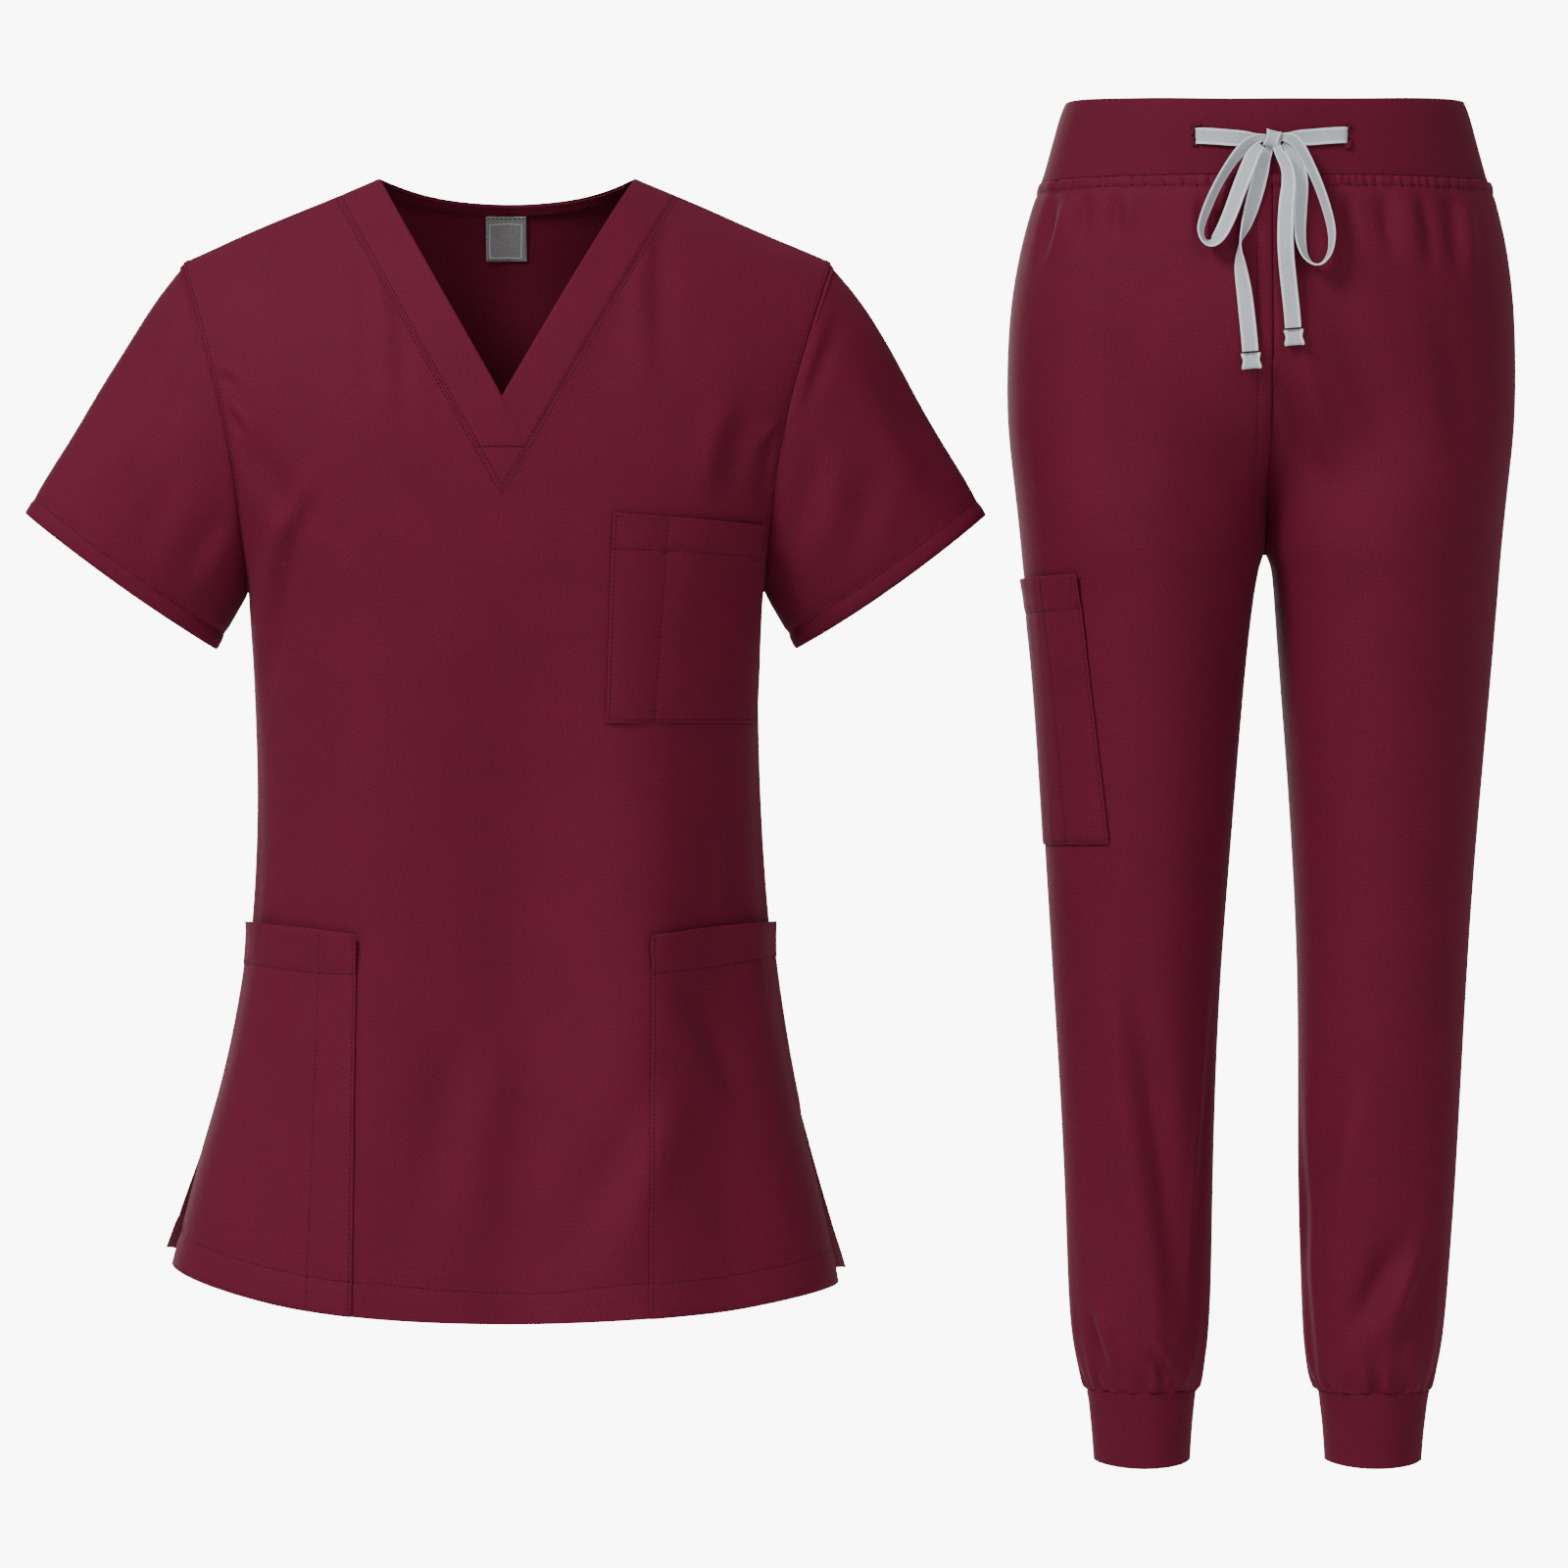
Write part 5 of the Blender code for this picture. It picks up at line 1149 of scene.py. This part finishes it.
def patch_pocket(node, seed, mouth, seam, divider, dents=(), hem=None, tacks=(), **cut):
    """A pocket on the front. Its mouth, divider and tacks are sewn where they are seen, and its seam along the edge as
    cut, or with a hem, along both edges as they then lie. Each dent is a depth along the divider and its reach."""
    pocket = Cloth(node, TUNIC_MIDDLE)
    cut_edge = pocket.edge(*seam)
    relief = pocket_relief(pocket.points, pocket.seen_line(*mouth), seed)
    relief -= SEAM_DENT * near(pocket.points, pocket.inside(cut_edge, BESIDE_SEAM), SEAM_REACH)
    for depth, reach in dents:
        relief -= depth * near(pocket.points, pocket.seen_line(*divider), reach)
    pocket.push(relief)
    rows = [pocket.seen_line(*line) for line in (mouth, divider) if line]
    rows.append(pocket.inside(pocket.edge(*seam) if hem else cut_edge, BESIDE_SEAM))
    if hem:
        rows.append(pocket.inside(pocket.edge(*hem), HEM_TURN))
    tacks = [pocket.seen_line(*places) for places in tacks]
    sewn_sheet(pocket, rows, tacks, roll=FOLD_ROLL, held="laid", rests_on=[front_piece], **cut)


patch_pocket(
    "chest_pocket",
    seed=51,
    mouth=((0.064, 0.2445), (0.1166, 0.2457), (0.17, 0.2489)),
    seam=((0.0719, -0.1103, -0.222), (0.1676, -0.0626, -0.2286), (0.11, -0.09, -0.356)),
    divider=((0.1072, 0.2212), (0.1021, 0.2885), (0.0971, 0.3552)),
    dents=((0.0004, 0.0019), (0.001, 0.01)),
    tacks=(((0.0933, 0.3483), (0.1009, 0.3483)), ((0.0735, 0.2235), (0.079, 0.2237))),
    flat=(0.115, 0.15),
)


# ------------------------ hip pockets
# Two large patch pockets reach from the side seams into the hem, which is turned and sewn through all layers. The
# one on the left is parted by a line of stitches. Their mouths hang a little open and roll at the outer corner.

patch_pocket(
    "hip_pocket_left",
    seed=61,
    mouth=((-0.18, 0.5108), (-0.1288, 0.5163), (-0.09, 0.5182)),
    seam=((-0.0934, -0.0979, -0.4921), (-0.0958, -0.121, -0.7365)),
    divider=((-0.1188, 0.4918), (-0.1219, 0.6095), (-0.1257, 0.7309)),
    dents=[(0.0005, 0.0022)],
    hem=((-0.2185, -0.0097, -0.7081), (-0.0958, -0.121, -0.7365)),
    flat=(0.16, 0.25),
)
patch_pocket(
    "hip_pocket_right",
    seed=61,
    mouth=((0.09, 0.5175), (0.1349, 0.5138), (0.185, 0.506)),
    seam=((0.0948, -0.0984, -0.4921), (0.0945, -0.121, -0.7379)),
    divider=None,
    hem=((0.2167, -0.0114, -0.72), (0.0945, -0.121, -0.7379)),
    flat=(0.16, 0.25),
)


# ------------------------ waistband
# A broad doubled band of knitted stretch cloth, folded at the top. It has two upright buttonholes in front, bound
# with close stitches, where the drawstring leaves its channel.

KNIT = 0.0018
KNIT_ROLL = 0.0007
KNIT_FADE = 0.004
BINDING = 0.0021
BINDING_PITCH = 0.0008


def interlock(across, along):
    """Fine interlock knit: close upright ribs of loops."""
    return across.wave(0.001) * 0.6 + (along + across.wave(0.001) * 0.0002).wave(0.0008) * 0.4


KNIT_WINE = tuple(0.94 * part for part in WINE)
KNIT_FINISH = dyed_cloth(
    "stretch_knit", KNIT_WINE, 0.82, interlock, 0.07, 1.42, 700.0, 30.0, 0.14, (0.6, 1.2), (0.32, 0.0003)
)
WAISTBAND_MIDDLE = (TROUSERS_AT[0], 0.0, 0.02)
EYELETS = ((0.4442, -0.0912, 0.0148), (0.5446, -0.0912, 0.0148))


def middle_back(place):
    return abs(place.x - TROUSERS_AT[0]) < 0.002 and place.y > 0


band = Cloth("waistband", WAISTBAND_MIDDLE, opened=middle_back)
joined = near(band.points, band.loop((0.4944, -0.0969, -0.0033)), KNIT_FADE)
band.push(slack(band.points, 0.06, 0.00035, 71) * (1 - joined))
binding = []
for eyelet in EYELETS:
    rim = resampled(band.loop(eyelet), BINDING_PITCH)
    binding += list(zip(rim, *band.settle(band.inside(rim, BINDING))))
band_piece = band.shell(KNIT_FINISH, "knit", KNIT, KNIT_ROLL)
buttonholes = sewn("buttonholes", binding, WINE_THREAD_AND_SHADE)


# ------------------------ trouser fronts
# Each leg's front is one cut piece. It is eased into the waistband with small gathers under a row of topstitching,
# and the left one laps over the middle seam with a second row.

WAIST_TURN = 0.0077
WAIST_RISE = 0.0007
WAIST_SOFT = 0.0007
WAIST_EDGE = 0.001
TICK_WIDE = 0.0012
TICK_DEEP = 0.0013
WAIST_TICKS = """
    -137 -128 -111 -106 -101.5 -89 -81 -69 -57 -48.5 -40.5 -34 -26
    31 35 40.5 46 50.5 55 60.5 67 79 84.5 92 96.5 101.5 108 116.5 122.5 130.5
"""
MIDDLE_ROW = ((-0.0108, 0.06), (-0.0098, 0.15), (-0.0092, 0.288))
LAP_WIDE = 0.0046
LAP_RISE = 0.0005
NIP_WIDE = 0.0018
NIP_DEEP = 0.0007
MIDDLE_TICKS = (0.224, 0.23, 0.236, 0.242, 0.248, 0.2545, 0.262)
TROUSER_FRONT_FOLDS = table(CREASE, """
     -98.4  60.9  -99.6  72.8 -100.3  88.6   5 3.1  0.8
    -119.1  60.9 -120.4  74.7 -122.3  94.9   5 3.1 -0.8
     -45.5  60.9  -45.5  77.2  -44.2  94.9   4 2.6  0.8
     -33.5  60.9  -32.9  72.8    -31  85.4 4.5 2.6  0.8
      48.3  60.9   49.5    76   52.7    98   5 3.1 -0.8
      72.2  60.9   74.1  79.1   79.1 102.4   6 3.4  0.8
      96.1  60.9   99.2  79.1  102.4 106.2   5 3.1 -0.8
     115.6  60.9  118.1  82.3  121.9 113.7   6 3.6  0.8
    -139.3  59.6 -143.1  79.1 -148.1 100.5   5 3.6  0.9
      28.8   120   53.9 173.5   77.2 228.3  15 4.8  0.6
       4.8 167.9   16.8   205     30 245.9   8 4.1  0.8
       103 126.3  120.6 176.7  126.9 233.3  12 2.9 -0.6
     -99.6 145.2  -93.3 201.9    -87 264.8  14 2.6  0.5
     -91.5 542.5  -72.4 663.1  -50.8 809.1  12 6.6 -0.7
    -118.1 780.5 -112.4   804 -104.2 826.9   5 4.1  0.8
     -77.5 807.8  -69.9 818.6  -62.9 829.4   4 3.1  0.8
      49.4 625.1   35.5 682.2   22.8   752  10 4.4  0.6
      91.3 734.2   69.7 767.9   52.6 802.8  10 5.6  0.7
     107.8 739.3   98.9   771     90   804   7 4.1 -0.7
     -32.4 566.7    -42 701.2  -46.4 834.5   3 1.4 -0.8
      20.9 631.4   23.4 732.9   32.3 834.5   3 1.4  0.8
""")
ANKLE = -0.7913
GATHER_DEEP = 0.0013
GATHER_LONG = 0.013
GATHER_FADE = 0.0016
FLAT_ROLL = 0.00018
BRIDGE = 0.009
BRIDGE_WIDE = 0.024
BRIDGE_DROP = 0.252
BRIDGE_TALL = 0.042
WAIST_SEAM_Z = -0.0037
WAIST_FRONT = -0.0985
WAIST_BACK = 0.098
LEG_FADE = 0.007
WAIST_FADE = 0.004
ROW_DENT = 0.0005
ROW_REACH = 0.002
CROTCH = (TROUSERS_AT[0], 0, -0.318)
# Along x: the line that a leg's cloth faces away from, its side seam at the waist and at the ankle, its inner seam at
# the ankle, and the middle of the ankle.
LEGS = {"left": (0.52, 0.348, 0.378, 0.4504, 0.4141), "right": (0.46, 0.6418, 0.6026, 0.529, 0.5659)}


def between_legs(points):
    """Low in front the cloth hangs straight across from one leg to the other, so it stands forward at the seam."""
    side, drop = points[:, 0] - TROUSERS_AT[0], TROUSERS_AT[2] - points[:, 2]
    return BRIDGE * fall(side, BRIDGE_WIDE) * fall(drop - BRIDGE_DROP, BRIDGE_TALL)


def ankle_relief(points, middle_x):
    """The gathers above a cuff, small and uneven, fading out at the seam."""
    height = points[:, 2] - ANKLE
    turn = np.arctan2(points[:, 1], points[:, 0] - middle_x)
    ripple = np.sin(turn * 13 + 1.1 * np.sin(turn * 3)) + 0.7 * np.sin(turn * 21 + middle_x * 90 + np.sin(turn * 5))
    return GATHER_DEEP * ripple * fall(height, GATHER_LONG) * (1 - fall(height, GATHER_FADE))


def waist_relief(points, waist, ticks):
    """The eased top of a leg: doubled cloth down to the stitches, nipped at uneven places."""
    gap = gap_to(points, waist)
    side = points[:, 0] - TROUSERS_AT[0]
    turn = doubled(gap, WAIST_TURN, WAIST_SOFT)
    nips = sum(fall(side - tick, TICK_WIDE) for tick in table("tick", ticks)["tick"])
    raised = (turn - fall(gap - WAIST_TURN, PULL_REACH)) * (1 - fall(gap, WAIST_EDGE))
    return WAIST_RISE * raised - TICK_DEEP * turn * nips


def half_leg(node, side, y, **settings):
    """The cloth of one panel of a leg, and its edge at the waist, which ends in the middle at depth y."""
    middle, above = LEGS[side][:2]
    leg = Cloth(f"{node}_{side}", (middle, math.copysign(0.02, -y), -0.4), origin=TROUSERS_AT, **settings)
    return leg, leg.edge((above, 0, WAIST_SEAM_Z), (TROUSERS_AT[0], y, WAIST_SEAM_Z))


def leg_seams(leg, side):
    """The side seam and the inner seam of a leg."""
    _, above, below, inner, _ = LEGS[side]
    return leg.edge((above, 0, WAIST_SEAM_Z), (below, 0, ANKLE)), leg.edge((inner, 0, ANKLE), CROTCH)


def leg_drape(points):
    return slack(points, 0.11, 0.0008, 81)


def leg_relief(points, side, folds, ticks, seams, waist):
    """Creases that fade out at the seams, gathers at the ankle, and the eased waist."""
    relief = folded(points, folds, TROUSERS_AT) * (1 - near(points, np.vstack(seams), LEG_FADE))
    relief += leg_drape(points) + ankle_relief(points, LEGS[side][4])
    return relief * (1 - near(points, waist, WAIST_FADE)) + waist_relief(points, waist, ticks)


trouser_fronts = {}
for side in SIDES:
    leg, waist = half_leg("trouser_front", side, WAIST_FRONT)
    relief = leg_relief(leg.points, side, TROUSER_FRONT_FOLDS, WAIST_TICKS, leg_seams(leg, side), waist)
    if side == "left":
        row = leg.seen_line(*MIDDLE_ROW)
        nips = sum(fall(TROUSERS_AT[2] - leg.points[:, 2] - drop, NIP_WIDE) for drop in MIDDLE_TICKS)
        lap = near(leg.points, leg.seen_line(*[(0.5 * x, drop) for x, drop in MIDDLE_ROW]), LAP_WIDE)
        relief += lap * (LAP_RISE - NIP_DEEP * nips) - ROW_DENT * near(leg.points, row, ROW_REACH)
    leg.push(relief)
    leg.points[:, 1] -= between_legs(leg.points)
    rows = [leg.inside(waist, WAIST_TURN)] + [leg.seen_line(*MIDDLE_ROW)] * (side == "left")
    sewn_sheet(leg, rows, roll=FLAT_ROLL, flat=(0.26, 0.8), area=0.165, held="gathered")
    trouser_fronts[side] = leg


# ------------------------ trouser backs
# The backs are cut fuller than the fronts and eased into the waistband in the same way.

TROUSER_BACK_FOLDS = table(CREASE, """
    -106 60.9 -108  78 -110 100   6 1.9  0.8
     -76 60.9  -77  76  -79  95 5.5 1.8 -0.8
     -38 60.9  -39  80  -41 102   6 1.9  0.8
      30 60.9   31  76   33  94 5.5 1.8 -0.8
      64 60.9   66  80   69 103   6 1.9  0.8
     104 60.9  107  78  111 100   6 1.9 -0.8
     -26  230  -56 275  -90 310  14 3.6  0.6
      28  235   60 282   96 315  14 3.6 -0.6
     -70  520  -80 630  -90 760  15 4.2  0.6
      62  550   69 650   78 770  14 3.9 -0.6
     -56  770  -62 800  -70 828   7 2.4  0.7
      98  775   93 803   85 829   7 2.4 -0.7
""")
BACK_TICKS = "-128 -104 -93 -71 -49 -32 -18 21 39 52 73 94 119"
SEAM_TOGETHER = 0.008
trouser_backs = {}
for side, fore in trouser_fronts.items():
    leg, waist = half_leg("trouser_back", side, WAIST_BACK, levels=2)
    seams = leg_seams(fore, side)
    leg.push(leg_relief(leg.points, side, TROUSER_BACK_FOLDS, BACK_TICKS, seams, waist))
    trouser_backs[side] = leg
    rows = [leg.inside(waist, WAIST_TURN)] + [leg.seen_line(*MIDDLE_ROW, behind=True)] * (side == "left")
    behind = [(f"trouser_allowances_{side}", [(seam, fore, leg) for seam in seams])]
    if side == "right":
        middles = []
        for halves, y in ((trouser_backs, WAIST_BACK), (trouser_fronts, WAIST_FRONT)):
            line = halves["left"].edge((TROUSERS_AT[0], y, WAIST_SEAM_Z), (TROUSERS_AT[0], 0, -0.247))
            middles.append((line * (0, 1, 1) + (TROUSERS_AT[0], 0, 0), halves["left"], halves["right"]))
        behind.append(("trouser_allowances_middle", middles, SEAM_TOGETHER))
    sewn_sheet(leg, rows, behind=behind, flat=(0.26, 0.8), area=0.165, held="gathered")


# ------------------------ cargo pocket
# A patch pocket low on one thigh, wrapped round the side seam. A line of stitches parts off a narrow pen slot.

CARGO_TURN = 0.022
CARGO_DIVIDER = ((-0.148, 0.3058), (-0.1397, 0.3775), (-0.1308, 0.4797))
CARGO_CORNER = ((-0.1289, 0.3052), (-0.1283, 0.3268))
cargo = Cloth("cargo_pocket", (0.46, 0.0, -0.4), origin=TROUSERS_AT)
cargo_corners = ((0.368, -0.079, -0.2605), (0.3681, 0.0846, -0.2606))
seam = cargo.edge(*cargo_corners, (0.35, 0.0, -0.4345))
mouth = cargo.edge(*cargo_corners, (0.34, 0.0, -0.2605))
mouth_gap = gap_to(cargo.points, mouth)
relief = mouth_relief(mouth_gap < CARGO_TURN, gap_to(cargo.points, cargo.inside(mouth, CARGO_TURN)))
relief += leg_drape(cargo.points) - ROW_DENT * near(cargo.points, cargo.seen_line(*CARGO_DIVIDER), ROW_REACH)
cargo.push(relief - SEAM_DENT * near(cargo.points, cargo.inside(seam, BESIDE_SEAM), SEAM_REACH))
rows = [cargo.inside(mouth, CARGO_TURN), cargo.inside(seam, BESIDE_SEAM)]
rows += [cargo.seen_line(*CARGO_DIVIDER), cargo.seen_line(*CARGO_CORNER)]
under = ["trouser_front_left_cloth", "trouser_back_left_cloth"]
sewn_sheet(cargo, rows, roll=FOLD_ROLL, flat=(0.17, 0.175), held="laid", rests_on=under)


# ------------------------ cuffs
# Each leg is gathered into a doubled band of the same knit as the waistband, folded at the bottom.


def inner_seam(place):
    return abs(place.y) < 0.001 and abs(place.x - TROUSERS_AT[0]) < 0.06


for side, (*_, ankle) in LEGS.items():
    cuff = Cloth(f"cuff_{side}", (ankle, 0.0, -0.8155), opened=inner_seam)
    joined = near(cuff.points, cuff.loop((ankle, -0.0364, -0.7917)), KNIT_FADE)
    cuff.push(slack(cuff.points, 0.04, 0.0003, 111) * (1 - joined))
    cuff.shell(KNIT_FINISH, "knit", KNIT, KNIT_ROLL)
